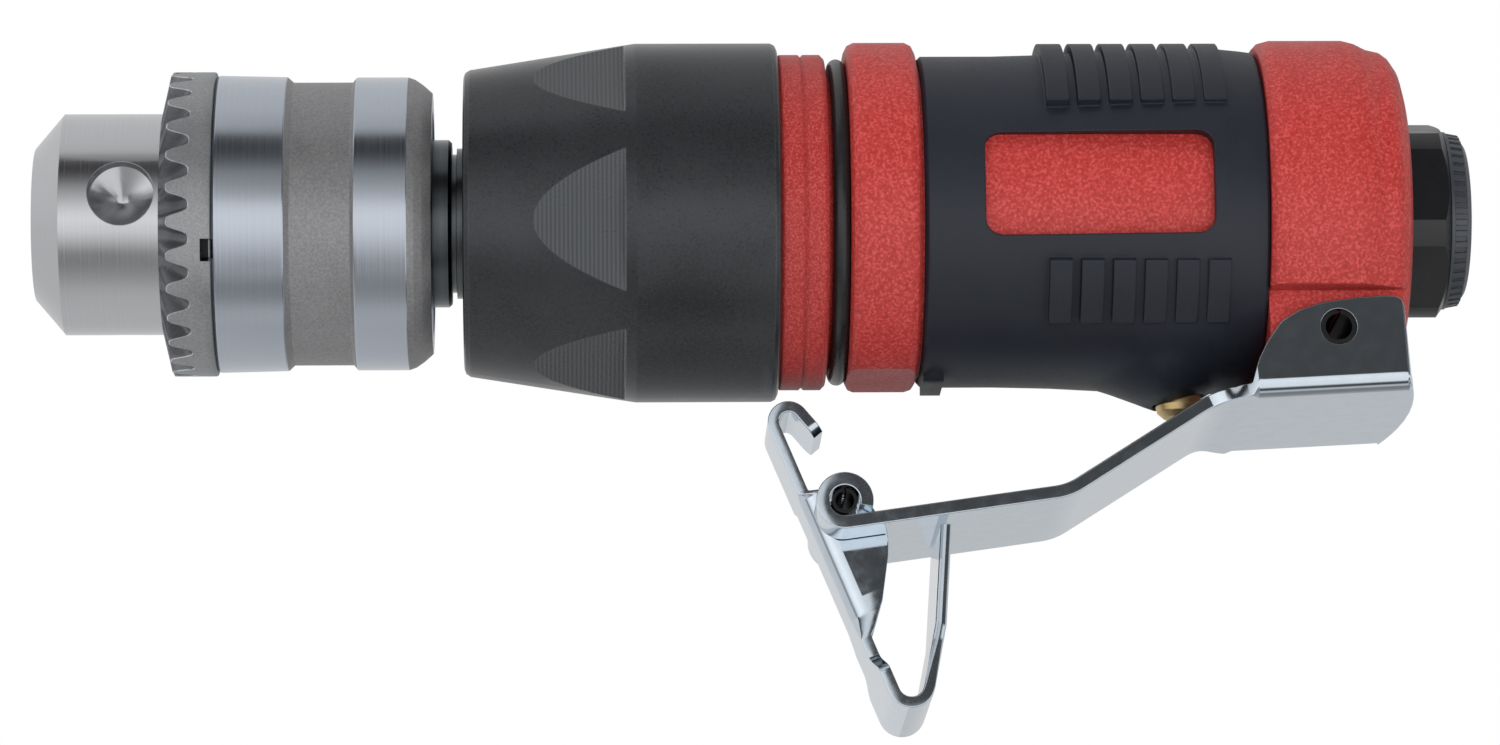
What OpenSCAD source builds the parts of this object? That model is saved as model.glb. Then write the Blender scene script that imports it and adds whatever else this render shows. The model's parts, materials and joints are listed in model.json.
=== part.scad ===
// Straight air drill: keyed chuck, planetary gear, vane motor, throttle lever with a safety latch.
// The tool axis is X, from the chuck nose (0) to the air inlet. The lever hangs at -Z. Millimetres.
// Angles round the axis are counted from -Y, upwards.

/* [Chuck] */
// radius of the chuck nose
nose_r = 11; // [10.8:0.05:11.2]
// radius of the flat front face of the nose
nose_face_r = 7.6; // [7:0.1:8.4]
// length of the conical front of the nose
nose_cone = 2.9; // [2.2:0.1:3.6]
// radius of the toothed key ring
ring_r = 15.15; // [15:0.05:15.6]
// number of teeth on the key ring
ring_teeth = 28; // [24:1:32]
// width of a gap between two teeth of the key ring
tooth_gap = 2; // [1.6:0.1:2.1]
// radius of the front band of the chuck sleeve
sleeve_r = 14.8; // [14.6:0.05:15]
// depth of the plain groove between the two bands of the sleeve
sleeve_groove = 0.7; // [0.3:0.05:0.8]
// length from the nose to the rear face of the sleeve
chuck_l = 39.4; // [39:0.1:39.5]
// radius of the bore for the bit shank
bit_r = 3.4; // [3.3:0.05:3.6]
// radial opening of the jaws at rest
jaw_open = 3.45; // [3.42:0.01:3.55]
// radius of a jaw
jaw_r = 2.3; // [2.1:0.05:2.4]
// radius of a chuck key hole
key_r = 3.25; // [2.9:0.05:3.4]
// depth of the straight wall of a chuck key hole
key_depth = 2; // [1.6:0.1:2.4]

/* [Front housing] */
// radius of the cylindrical rear of the front housing
front_r = 17.9; // [17.6:0.05:18.4]
// radius of the front housing at its nose
front_nose_r = 15.2; // [14.6:0.1:15.8]
// distance of the spanner flats from the axis
flat_d = 16.3; // [16:0.05:16.8]
// number of spanner flats
flat_n = 6; // [4:1:8]
// angle of the first spanner flat
flat_a = -12.7; // [-20:0.1:20]

/* [Motor housing] */
// radius of the front flange of the motor housing
flange_r = 17.5; // [17.3:0.05:17.7]
// height of the flange centre above the axis
flange_lift = 0.45; // [0.3:0.05:0.5]
// radius of the flange of the front adaptor
adaptor_r = 16.75; // [16.4:0.05:16.8]
// radius of the rear head
head_r = 18.05; // [17.8:0.05:18.4]
// radius of the rear rim of the head
rim_r = 16.75; // [16.4:0.05:17.2]
// thickness of the section of the housing seal ring
seal_t = 1.7; // [1.6:0.05:1.7]

/* [Grip] */
// radius of the grip at its front
grip_front_r = 16.55; // [16.4:0.05:16.9]
// largest radius of the grip
grip_mid_r = 17.3; // [17:0.05:17.6]
// radius of the grip at its rear
grip_rear_r = 16.85; // [16.6:0.05:17.2]
// height of the grip ridges
ridge_h = 0.75; // [0.4:0.05:1]
// number of grip ridges
ridge_n = 6; // [4:1:6]
// length of the label window
window_l = 22.4; // [20:0.1:24]
// half angle of the label window
window_a = 18.2; // [16:0.1:20]

/* [Lever] */
// thickness of the lever sheet
lever_t = 1.3; // [1.1:0.05:1.4]
// width of the lever
lever_w = 22; // [21.8:0.1:23]
// outer width of the lever where its sides are bent up
ear_w = 28; // [27.8:0.1:28.6]
// radius of the rolled eye of the lever
eye_r = 2.8; // [2.6:0.05:3]
// length of the front strip of the lever
strip_l = 21.9; // [21.4:0.1:22.2]
// radius of the lever pin
lever_pin_r = 1.75; // [1.6:0.05:1.8]
// radius of the latch pin
latch_pin_r = 1.25; // [1.1:0.05:1.3]
// thickness of the latch sheet
latch_t = 1.1; // [0.9:0.05:1.2]
// width of the latch at its hook
hook_w = 10; // [9:0.1:10.2]
// width of the latch at its loop
loop_w = 18; // [16:0.2:20]

/* [Valve and inlet] */
// radius of the throttle plunger
plunger_r = 2.25; // [2:0.05:2.4]
// width of the inlet hexagon across flats
hex_af = 18.5; // [18:0.1:18.9]
// radius over the turned corners of the inlet hexagon
hex_r = 10; // [9.8:0.05:10.3]
// radius of the threaded inlet hole
inlet_r = 5.7; // [5.4:0.05:5.9]
// radius of the ribbed inlet ring
collar_r = 8.9; // [8.6:0.05:9.2]
// number of ribs on the inlet ring
rib_n = 48; // [36:2:60]

/* [Motor and gear] */
// gear module
gear_m = 0.5; // [0.49:0.005:0.505]
// radius of the rotor
rotor_r = 9; // [8.7:0.05:9.05]
// number of vanes
vane_n = 4; // [3:1:6]
// thickness of a vane
vane_t = 1.5; // [1.2:0.1:1.8]

/* [Hidden] */
$fn = 96;
// radial clearance of parts that turn or slide on each other
run = 0.05;
// clearance of parts that stay together
fit = 0.02;
// overlap that makes cutters pass a face
cut = 1;
// chuck stations along the axis
bevel_x = 12.7;
ring_x = 14.2;
sleeve_x = 18;
groove_x0 = 25.3;
groove_x1 = 32.3;
nut_x = 23.4;
body_x1 = chuck_l - 0.4;
stud_x = 27.4;
stud_r = 4.7;
jaw_x = 1;
jaw_end = 25.6;
jaw_tilt = 15;
jaw_land = 0.9;
jaw_a = 63;
key_x = 9;
key_a = 3;
// radius at which the jaw axis meets the nose face
jaw_rho = jaw_open - 0.1;
body_r = 11.5;
nut_r = 13.15;
nut_seat = 10.25;
sleeve_in = 12.75;
sleeve_rear_r = sleeve_r - 0.2;
// spindle stations
collar_x1 = 41.3;
neck_x1 = 41.8;
shoulder_r = 7.5;
front_x0 = 42.5;
bear_x = 44;
bear_w = 7;
bear_gap = 0.4;
carrier_x = 59;
carrier_t = 3;
carrier_r = 12;
// gear stations and tooth numbers
sun_z = 12;
planet_z = 18;
ring_z = 48;
planet_n = 3;
ring_gear_x = 62.5;
plate_x = 69.5;
planet_x0 = carrier_x + carrier_t + 0.3;
planet_x1 = plate_x - 0.7;
planet_pin_r = 1.5;
planet_orbit = gear_m * (sun_z + planet_z) / 2;
backlash = 0.05;
press_a = 20;
addendum = 0.8;
dedendum = 1.2;
// housing stations
cone_x = 59.5;
front_x1 = 73.6;
gear_r = 14.2;
spigot_r = 15.15;
adaptor_x1 = 78.3;
thread_r = 14.85;
thread_x1 = 86;
flange_x0 = 80.4;
flange_x1 = 87.3;
motor_r = 12.7;
motor_x0 = 75.5;
motor_x1 = 97.5;
motor_end = 103.5;
bore_lift = -1.1;
bore_r = 10.3;
dowel_z = motor_r - 1.35;
dowel_r = 0.75;
// exhaust ducts: angles, radius, distance from the axis
exhaust_angles = [40, 140];
exhaust_r = 1.5;
exhaust_d = 12.2;
barrel_r = 15.6;
grip_x0 = flange_x1 + 0.3;
grip_x1 = 121.3;
head_x1 = 135.7;
ledge_z = -10;
lug_y = ear_w / 2 - lever_t - 0.4;
pass_r = 3.2;
// rotor bearings: bore, outer radius, width
front_brg = [4, 9, 5];
rear_brg = [2.5, 8, 5];
spin_brg = [4, 11, bear_w];
front_brg_x = plate_x;
rear_brg_x = motor_end - 5;
// lever points in the XZ plane
pivot = [127.9, -14.05];
eye = [79.6, -30.5];
strip_a = 8;
slope_a = 32.3;
floor_a = 2.8;
slope_l = 17.2;
floor_l = 22;
lug_r = 3.6;
knuckle_y = hook_w / 2 + 0.4;
slot_l = 6;
b0 = eye + (eye_r + 0.05) * [sin(strip_a), -cos(strip_a)];
b1 = b0 + strip_l * along(strip_a);
b2 = b1 + slope_l * along(slope_a);
b3 = b2 + floor_l * along(floor_a);
t0 = b0 + lever_t * across(strip_a);
t1 = b1 + lever_t / cos((slope_a - strip_a) / 2) * across((slope_a + strip_a) / 2);
t2 = b2 + lever_t / cos((slope_a - floor_a) / 2) * across((slope_a + floor_a) / 2);
t3 = b3 + lever_t * across(floor_a);
// latch points, counted from its pin
leg_a = -68.2;
leg_d = -2.9;
arm_a = -50;
hook_l = 10.4;
arm_l = 2.8;
hook_bend = 1.5;
loop_bend = 2.25;
hook_mid = (leg_d + hook_bend) * across(leg_a) - hook_l * along(leg_a);
loop_low = [6.84, -24.97];
loop_mid = [9.3, -11.8];
loop_end = [9.98, -2];
// valve
valve_x = 113.4;
boss_z = -8.4;
seat_z = -8.5;
bush_z = -15.2;
bush_r = 4;
tip_z = -20.5;
seal_z = -14;
head_z1 = -6.4;
chamber_z = 6;
// inlet
inlet_x0 = 122.6;
inlet_thread = 8;
screen_x = inlet_x0 + 4;
screen_t = 0.5;
screen_r = 4.6;
hex_x1 = 139.4;
collar_x = 140.1;
end_x = 142.3;
neck_r = 7;

steel = "#b9bdc1";
dull = "#8f9396";
black = "#26282b";
red = "#b5232d";
rubber = "#2b2d30";
chrome = "#d4d8db";
brass = "#b99a5b";

function along(a) = [cos(a), sin(a)];
function across(a) = [-sin(a), cos(a)];
function unit(v) = v / norm(v);
function turn(a, b) = ((b - a + 540) % 360) - 180;
function ang(v) = atan2(v[1], v[0]);
// arc of radius r that rounds the corner b of the line a, b, c
function bend(a, b, c, r, n = 6) =
    let (u = unit(a - b), w = unit(c - b), h = acos(u * w) / 2)
    let (m = b + unit(u + w) * r / sin(h))
    let (p = ang(b + u * r / tan(h) - m), d = turn(p, ang(b + w * r / tan(h) - m)))
    [for (i = [0 : n]) m + r * along(p + d * i / n)];
// one side of a line of points, h away from it
function side(p, h) =
    [for (i = [0 : len(p) - 1])
        let (a = p[max(i - 1, 0)], b = p[min(i + 1, len(p) - 1)], d = unit(b - a))
        p[i] + h * [-d[1], d[0]]];
function reversed(p) = [for (i = [len(p) - 1 : -1 : 0]) p[i]];
// least gap of a wire of radius r to itself, leaving out neighbours closer than k points
function least_gap(p, r, k) =
    min([for (i = [0 : len(p) - 1 - k]) min([for (j = [i + k : len(p) - 1]) norm(p[i] - p[j])])]) - 2 * r;
function strip(p, t) = concat(side(p, t / 2), reversed(side(p, -t / 2)));
// involute teeth: z teeth, tip and root heights in modules, flank gap g
function inv(a) = tan(a) * 180 / PI - a;
function tooth_half(r, z, g) =
    let (rp = gear_m * z / 2, rb = rp * cos(press_a), s = PI * gear_m / 2 - g)
    s / (2 * rp) * 180 / PI + inv(press_a) - inv(acos(min(1, rb / r)));
function flank(z, tip, root, g, n = 4) =
    let (rp = gear_m * z / 2, rb = rp * cos(press_a), r0 = rp - root * gear_m)
    let (r1 = rp + tip * gear_m, rs = max(rb, r0))
    concat(r0 < rb ? [[r0, tooth_half(rb, z, g)]] : [],
        [for (i = [0 : n]) let (r = rs + (r1 - rs) * i / n) [r, tooth_half(r, z, g)]]);
function gear_points(z, tip, root, g) =
    let (f = flank(z, tip, root, g))
    [for (k = [0 : z - 1]) let (c = 360 * k / z)
        each concat([for (q = f) q[0] * along(c - q[1])],
            [for (q = reversed(f)) q[0] * along(c + q[1])])];

// solid of revolution about the tool axis, points as [radius, x]
module turned(p) { rotate([0, 90, 0]) rotate_extrude() polygon(p); }
module rod_x(r, x0, x1) { translate([x0, 0, 0]) rotate([0, 90, 0]) cylinder(r = r, h = x1 - x0); }
module rod_y(r, y0, y1) { translate([0, y0, 0]) rotate([-90, 0, 0]) cylinder(r = r, h = y1 - y0); }
module rod_z(r, z0, z1) { translate([0, 0, z0]) cylinder(r = r, h = z1 - z0); }
module ring_x_dir(r0, r1, x0, x1) { turned([[r0, x0], [r1, x0], [r1, x1], [r0, x1]]); }
// outline in the XZ plane, as thick as y0 to y1
module plate_y(p, y0, y1) { translate([0, y1, 0]) rotate([90, 0, 0]) linear_extrude(y1 - y0) polygon(p); }
// turns what is built on the -Y side to the angle a
module at(a) { rotate([-a, 0, 0]) children(); }
module gear_x(z, tip, root, g, x0, x1) {
    translate([x0, 0, 0]) rotate([0, 90, 0]) linear_extrude(x1 - x0)
        polygon(gear_points(z, tip, root, g));
}
// round wire along a line of points, ref never being along the line
module wire(p, r, ref, n = 8) {
    e = len(p) - 1;
    pts = [for (i = [0 : e])
        let (t = unit(p[min(i + 1, e)] - p[max(i - 1, 0)]), s = unit(cross(t, ref)), q = cross(s, t))
        for (k = [0 : n - 1]) p[i] + r * (cos(360 * k / n) * q + sin(360 * k / n) * s)];
    faces = concat([[for (k = [0 : n - 1]) k]],
        [for (i = [0 : e - 1], k = [0 : n - 1])
            [i * n + k, (i + 1) * n + k, (i + 1) * n + (k + 1) % n, i * n + (k + 1) % n]],
        [[for (k = [n - 1 : -1 : 0]) e * n + k]]);
    polyhedron(pts, faces);
}

// ball bearing pieces: b is bore radius, outer radius and width
function ball_r(b) = (b[1] - b[0]) * 0.285;
function ball_orbit(b) = (b[1] + b[0]) / 2;
module race_cut(b) {
    rotate([0, 90, 0]) rotate_extrude() translate([ball_orbit(b), b[2] / 2]) circle(ball_r(b) + run);
}
module outer_race(b) {
    difference() {
        ring_x_dir(b[1] - (b[1] - b[0]) * 0.27, b[1] - fit, 0, b[2]);
        race_cut(b);
    }
}
module inner_race(b) {
    difference() {
        ring_x_dir(b[0] + fit, b[0] + (b[1] - b[0]) * 0.27, 0, b[2]);
        race_cut(b);
    }
}
module ball_set(b, n) {
    for (k = [0 : n - 1])
        at(360 * k / n) translate([b[2] / 2, -ball_orbit(b), 0]) sphere(ball_r(b));
}

// chuck
module jaw_line(r, x0, x1) {
    translate([0, -jaw_rho, 0]) rotate([0, 0, -jaw_tilt]) rod_x(r, x0, x1);
}
module key_hole() {
    translate([key_x, 0, 0]) rotate([90, 0, 0]) {
        translate([0, 0, nose_r - key_depth]) cylinder(r = key_r, h = key_depth + cut);
        translate([0, 0, nose_r - key_depth - key_r * 0.6]) cylinder(r1 = 0, r2 = key_r, h = key_r * 0.6);
    }
}
module chuck_body() {
    color(steel) difference() {
        turned([[0, 0], [nose_face_r, 0], [nose_r, nose_cone], [nose_r, sleeve_x], [nut_seat, sleeve_x],
            [nut_seat, nut_x], [body_r, nut_x], [body_r, body_x1], [0, body_x1]]);
        rod_x(bit_r, -cut, stud_x);
        rod_x(stud_r + fit, stud_x - cut / 2, body_x1 + cut);
        for (k = [0 : 2])
            at(jaw_a + 120 * k) jaw_line(jaw_r + run, -cut * 4, jaw_end / cos(jaw_tilt) + cut);
        for (k = [0 : 2]) at(key_a + 120 * k) key_hole();
    }
}
module chuck_jaw(k) {
    far = body_r + nut_r;
    color(dull) at(jaw_a + 120 * k) difference() {
        intersection() {
            jaw_line(jaw_r, -cut, jaw_end / cos(jaw_tilt));
            translate([jaw_x, 0, 0]) rotate([90, 0, 90]) linear_extrude(jaw_end)
                polygon([[-jaw_open, -jaw_land / 2], [-jaw_open, jaw_land / 2],
                    [-far, jaw_land / 2 + (far - jaw_open) * tan(58)],
                    [-far, -jaw_land / 2 - (far - jaw_open) * tan(58)]]);
        }
        for (i = [0 : 8]) translate([0, -jaw_rho, 0]) rotate([0, 0, -jaw_tilt])
            translate([jaw_end * 0.45 + 1.5 * i, -jaw_r - cut, -jaw_r]) cube([0.7, cut + 0.7, jaw_r * 2]);
    }
}
module chuck_jaw_1() { chuck_jaw(0); }
module chuck_jaw_2() { chuck_jaw(1); }
module chuck_jaw_3() { chuck_jaw(2); }
module chuck_key_ring() {
    bevel_r = nose_r + 0.2;
    tilt = atan2(ring_x - bevel_x, ring_r - bevel_r);
    slant = norm([ring_x - bevel_x, ring_r - bevel_r]);
    color(dull) difference() {
        turned([[nose_r + run, bevel_x], [bevel_r, bevel_x], [ring_r, ring_x], [ring_r, sleeve_x - 0.3],
            [ring_r - 0.25, sleeve_x], [nose_r + run, sleeve_x]]);
        for (k = [0 : ring_teeth - 1]) at(360 * k / ring_teeth)
            translate([bevel_x, -bevel_r, 0]) rotate([0, 0, tilt]) rotate([90, 0, 0])
                translate([0, 0, 0.45]) cylinder(r = tooth_gap / 2, h = slant + cut, $fn = 12);
        at(-23.5) translate([sleeve_x - 1, -ring_r - cut, -1.1]) cube([1 + cut, cut + 0.6, 2.2]);
    }
}
module chuck_sleeve() {
    groove_r = sleeve_r - sleeve_groove;
    color(steel) turned([[nut_r + fit, sleeve_x], [sleeve_r - 0.3, sleeve_x], [sleeve_r, sleeve_x + 0.3],
        [sleeve_r - 0.15, groove_x0 - 0.3], [groove_r, groove_x0 + 0.3], [groove_r, groove_x1 - 0.2],
        [sleeve_rear_r, groove_x1 + 0.2], [sleeve_rear_r, chuck_l - 2.4],
        [sleeve_rear_r - 0.25, chuck_l - 1.7],
        [sleeve_rear_r - 0.8, chuck_l - 0.9], [sleeve_rear_r - 1.6, chuck_l], [body_r + run, chuck_l],
        [body_r + run, chuck_l - 2], [sleeve_in, chuck_l - 2], [sleeve_in, nut_x], [nut_r + fit, nut_x]]);
}
module chuck_nut() {
    x0 = sleeve_x + fit;
    x1 = nut_x - 0.1;
    r0 = jaw_rho + x0 * tan(jaw_tilt) + jaw_r / cos(jaw_tilt) + 0.15;
    color(dull) difference() {
        turned([[r0, x0], [nut_r, x0], [nut_r, x1], [r0 + (x1 - x0) * tan(jaw_tilt), x1]]);
        translate([x0 - cut, -nut_r - cut, -0.1]) cube([x1 - x0 + 2 * cut, 2 * (nut_r + cut), 0.2]);
    }
}

// spindle and gear
module spindle() {
    rear = bear_x + 2 * bear_w + bear_gap;
    carrier_x1 = carrier_x + carrier_t;
    color(dull) difference() {
        turned([[0, stud_x + 0.1], [stud_r - 0.5, stud_x + 0.1], [stud_r, stud_x + 0.7],
            [stud_r, chuck_l],
            [8.35, chuck_l], [8.35, collar_x1 - 0.3], [8.05, collar_x1], [6.9, collar_x1], [6.9, neck_x1],
            [shoulder_r, neck_x1], [shoulder_r, bear_x], [spin_brg[0], bear_x], [spin_brg[0], rear],
            [5.6, rear], [5.6, carrier_x], [carrier_r, carrier_x], [carrier_r, carrier_x1],
            [0, carrier_x1]]);
        for (k = [0 : planet_n - 1]) at(90 + 360 * k / planet_n) translate([0, -planet_orbit, 0])
            rod_x(planet_pin_r + fit, carrier_x - cut, carrier_x1 + cut);
    }
}
module planet_pins() {
    color(steel) for (k = [0 : planet_n - 1]) at(90 + 360 * k / planet_n) translate([0, -planet_orbit, 0])
        rod_x(planet_pin_r, carrier_x, planet_x1 + 0.2);
}
module planet_gear(k) {
    color(dull) at(90 + 360 * k / planet_n) translate([0, -planet_orbit, 0]) difference() {
        gear_x(planet_z, addendum, dedendum, backlash, planet_x0, planet_x1);
        rod_x(planet_pin_r + run, planet_x0 - cut, planet_x1 + cut);
    }
}
module planet_gear_1() { planet_gear(0); }
module planet_gear_2() { planet_gear(1); }
module planet_gear_3() { planet_gear(2); }
module ring_gear() {
    color(dull) difference() {
        rod_x(gear_r - fit, ring_gear_x, plate_x);
        at(180 / ring_z) gear_x(ring_z, dedendum, addendum, -backlash, ring_gear_x - cut, plate_x + cut);
    }
}
module spindle_bearing_outers() {
    color(steel) for (k = [0 : 1])
        translate([bear_x + k * (bear_w + bear_gap), 0, 0]) outer_race(spin_brg);
}
module spindle_bearing_inners() {
    color(steel) for (k = [0 : 1])
        translate([bear_x + k * (bear_w + bear_gap), 0, 0]) inner_race(spin_brg);
}
module spindle_bearing_balls() {
    color(chrome) for (k = [0 : 1])
        translate([bear_x + k * (bear_w + bear_gap), 0, 0]) ball_set(spin_brg, 7);
}
module bearing_spacer() {
    x0 = bear_x + bear_w;
    color(dull) ring_x_dir(spin_brg[1] - 1.6, spin_brg[1] - fit, x0, x0 + bear_gap);
}

// front housing
module front_housing() {
    rear = bear_x + 2 * bear_w + bear_gap;
    color(black) difference() {
        turned([[shoulder_r + 0.3, front_x0], [front_nose_r - 0.6, front_x0],
            [front_nose_r - 0.2, front_x0 + 0.15],
            [front_nose_r + 0.1, front_x0 + 0.6], [front_r, cone_x], [front_r, front_x1 - 0.6],
            [front_r - 0.2, front_x1 - 0.2], [front_r - 0.6, front_x1], [spigot_r + fit, front_x1],
            [spigot_r + fit, plate_x], [gear_r, plate_x], [gear_r, rear + 0.2],
            [spin_brg[1] - 0.8, rear + 0.2],
            [spin_brg[1] - 0.8, rear], [spin_brg[1], rear], [spin_brg[1], bear_x],
            [shoulder_r + 0.3, bear_x]]);
        for (k = [0 : flat_n - 1]) at(flat_a + 360 * k / flat_n)
            translate([front_x0 + 2, -front_r - cut, -front_r / 2])
                cube([cone_x - front_x0 - 3.1, front_r + cut - flat_d, front_r]);
    }
}
module front_adaptor() {
    land = 76;
    plate_r = motor_r + 0.7;
    color(red) turned([[plate_r + fit, plate_x], [spigot_r, plate_x], [spigot_r, front_x1],
        [adaptor_r - 0.3, front_x1],
        [adaptor_r, front_x1 + 0.3], [adaptor_r, land - 0.25], [adaptor_r - 0.25, land],
        [adaptor_r, land + 0.25],
        [adaptor_r, adaptor_x1 - 0.4], [adaptor_r - 0.4, adaptor_x1], [thread_r, adaptor_x1],
        [thread_r, adaptor_x1 + 0.25], [thread_r - 0.3, adaptor_x1 + 0.5],
        [thread_r - 0.3, flange_x0 + 0.1],
        [thread_r, flange_x0 + 0.4], [thread_r, thread_x1], [motor_r + fit, thread_x1],
        [motor_r + fit, plate_x + 2], [plate_r + fit, plate_x + 2]]);
}
module housing_seal() {
    seal_x = flange_x0 - seal_t / 2;
    color(rubber) rotate([0, 90, 0]) translate([0, 0, seal_x]) rotate_extrude()
        translate([thread_r - 0.25 + seal_t / 2, 0]) circle(seal_t / 2, $fn = 48);
}

// motor
module front_end_plate() {
    wall = plate_x + front_brg[2];
    plate_r = motor_r + 0.7;
    color(dull) difference() {
        union() {
            rod_x(plate_r, plate_x, plate_x + 2);
            rod_x(motor_r, plate_x, motor_x0);
        }
        rod_x(front_brg[1], plate_x - cut, wall);
        rod_x(front_brg[0] + 0.5, plate_x, motor_x0 + cut);
        translate([0, 0, dowel_z]) rod_x(dowel_r + fit, motor_x0 - 2.5, motor_x0 + cut);
    }
}
module motor_cylinder() {
    mid = (motor_x0 + motor_x1) / 2;
    color(steel) difference() {
        rod_x(motor_r, motor_x0, motor_x1);
        translate([0, 0, bore_lift]) rod_x(bore_r, motor_x0 - cut, motor_x1 + cut);
        translate([0, 0, dowel_z]) rod_x(dowel_r + fit, motor_x0 - cut, motor_x1 + cut);
        for (a = exhaust_angles) at(a) translate([0, -exhaust_d, 0])
            rod_x(exhaust_r, mid - 6, motor_x1 + cut);
        for (a = exhaust_angles, i = [-1 : 1]) at(a) translate([mid + 4 * i, -motor_r - cut, 0])
            rod_y(1, 0, motor_r / 2);
        at(-90 + 25) translate([motor_x1 - 3, -motor_r - cut, -1.5]) cube([3 + cut, motor_r / 2, 3]);
    }
}
module rear_end_plate() {
    color(dull) difference() {
        rod_x(motor_r, motor_x1, motor_end);
        rod_x(rear_brg[1], rear_brg_x, motor_end + cut);
        rod_x(rear_brg[0] + 0.5, motor_x1 - cut, motor_end);
        translate([0, 0, dowel_z]) rod_x(dowel_r + fit, motor_x1 - cut, motor_x1 + 2.5);
        for (a = exhaust_angles) at(a) translate([0, -exhaust_d, 0])
            rod_x(exhaust_r, motor_x1 - cut, motor_end + cut);
        at(-90 + 25) translate([motor_x1 - cut, -motor_r - cut, -1.5])
            cube([motor_end - motor_x1 + 2 * cut, 3.5, 3]);
    }
}
module cylinder_dowel() {
    color(steel) translate([0, 0, dowel_z]) rod_x(dowel_r, motor_x0 - 2.3, motor_x1 + 2.3);
}
module rotor() {
    x0 = motor_x0 + 0.25;
    x1 = motor_x1 - 0.25;
    color(dull) union() {
        difference() {
            rod_x(rotor_r, x0, x1);
            for (k = [0 : vane_n - 1]) at(360 * k / vane_n)
                translate([x0 - cut, -rotor_r - cut, -vane_t / 2 - run])
                    cube([x1 - x0 + 2 * cut, rotor_r * 0.46 + cut, vane_t + 2 * run]);
        }
        rod_x(front_brg[0], plate_x, x0);
        gear_x(sun_z, addendum, dedendum, backlash, ring_gear_x, plate_x);
        rod_x(rear_brg[0], x1, motor_end - 0.2);
    }
}
module rotor_vanes() {
    x0 = motor_x0 + 0.3;
    x1 = motor_x1 - 0.3;
    color("#6d5a3c") for (k = [0 : vane_n - 1]) at(360 * k / vane_n)
        translate([x0, -rotor_r + 0.05, -vane_t / 2]) cube([x1 - x0, rotor_r * 0.44, vane_t]);
}
module rotor_bearing_outers() {
    color(steel) {
        translate([front_brg_x, 0, 0]) outer_race(front_brg);
        translate([rear_brg_x, 0, 0]) outer_race(rear_brg);
    }
}
module rotor_bearing_inners() {
    color(steel) {
        translate([front_brg_x, 0, 0]) inner_race(front_brg);
        translate([rear_brg_x, 0, 0]) inner_race(rear_brg);
    }
}
module rotor_bearing_balls() {
    color(chrome) {
        translate([front_brg_x, 0, 0]) ball_set(front_brg, 7);
        translate([rear_brg_x, 0, 0]) ball_set(rear_brg, 6);
    }
}

// motor housing and grip
// round bulge of the barrel that holds the throttle valve, grown by h
module boss(h) {
    line = [[6.8, -11.8], [7.15, -9.5], [7.45, -8.2], [7.95, -6.6], [8.6, -4.8], [9.2, -3.2],
        [9.55, -2.2], [9.6, -1], [9.3, 0.4], [8.7, 1.9], [7.5, 4], [6.8, 5.2]];
    translate([valve_x, 0, boss_z]) turned(concat([[0, line[0][1]]], [for (p = line) p + [h, 0]],
        [[0, line[len(line) - 1][1]]]));
}
module lug(g) {
    x0 = grip_x1 + 0.1 - g;
    low = pivot[1] - lug_r - g;
    plate_y(concat([[x0, ledge_z + cut], [x0, low + 1.6], [x0 + 1, low]],
        [for (i = [0 : 6]) pivot + (lug_r + g) * along(-90 + 15 * i)],
        [[133.4, ledge_z + cut]]), -lug_y - g, lug_y + g);
}
module head() {
    difference() {
        turned([[barrel_r - cut, grip_x1 + 0.05], [head_r - 0.8, grip_x1 + 0.05],
            [head_r - 0.3, grip_x1 + 0.5],
            [head_r, grip_x1 + 1.6], [head_r, head_x1 - 5.6], [head_r - 0.3, head_x1 - 4.4],
            [head_r - 0.9, head_x1 - 3.2], [rim_r + 0.1, head_x1 - 1.9], [rim_r - 0.4, head_x1 - 1.2],
            [rim_r - 1.4, head_x1 - 0.5], [rim_r - 2.8, head_x1 - 0.1], [rim_r - 4, head_x1],
            [0, head_x1],
            [0, grip_x1 + 0.05]]);
        for (s = [-1, 1]) translate([grip_x1 - cut, s > 0 ? lug_y : -head_r - lug_y, ledge_z - head_r])
            cube([head_x1, head_r, head_r]);
        translate([grip_x1 - cut, -head_r, pivot[1] - lug_r - head_r])
            cube([head_x1, 2 * head_r, head_r]);
        translate([pivot[0], -head_r, pivot[1] - lug_r - cut])
            cube([head_x1, 2 * head_r, lug_r + cut + 1.4]);
    }
}
module motor_housing() {
    relief = -16.2;
    color(red) difference() {
        union() {
            difference() {
                translate([0, 0, flange_lift]) turned([[0, flange_x0], [flange_r - 0.9, flange_x0],
                    [flange_r - 0.3, flange_x0 + 0.3], [flange_r, flange_x0 + 0.9],
                    [flange_r, flange_x1 - 0.9],
                    [flange_r - 0.3, flange_x1 - 0.3], [flange_r - 0.9, flange_x1], [0, flange_x1]]);
                translate([flange_x0 - cut, -flange_r, relief - flange_r])
                    cube([flange_x1 - flange_x0 + 2 * cut, 2 * flange_r, flange_r]);
            }
            rod_x(barrel_r, flange_x1 - cut, grip_x1 + cut);
            head();
            lug(0);
            boss(0);
        }
        rod_x(thread_r + fit, flange_x0 - cut, thread_x1);
        rod_x(motor_r + fit, flange_x0, motor_end);
        rod_x(inlet_thread + fit, inlet_x0, head_x1 + cut);
        rod_x(inlet_thread + 1.4, head_x1 - 1.3, head_x1 + cut);
        rod_x(pass_r, valve_x, inlet_x0 + cut);
        translate([valve_x, 0, 0]) rod_z(bush_r + fit, chamber_z - 40, chamber_z);
        translate([0, 0, seat_z - 2]) rod_x(1.5, motor_end - cut, valve_x);
        translate([pivot[0], 0, pivot[1]]) rod_y(lever_pin_r, -lever_w, lever_w);
        for (a = exhaust_angles) at(a) translate([0, -exhaust_d, 0])
            rod_x(exhaust_r, motor_end - cut, head_x1 + cut);
    }
}
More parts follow.
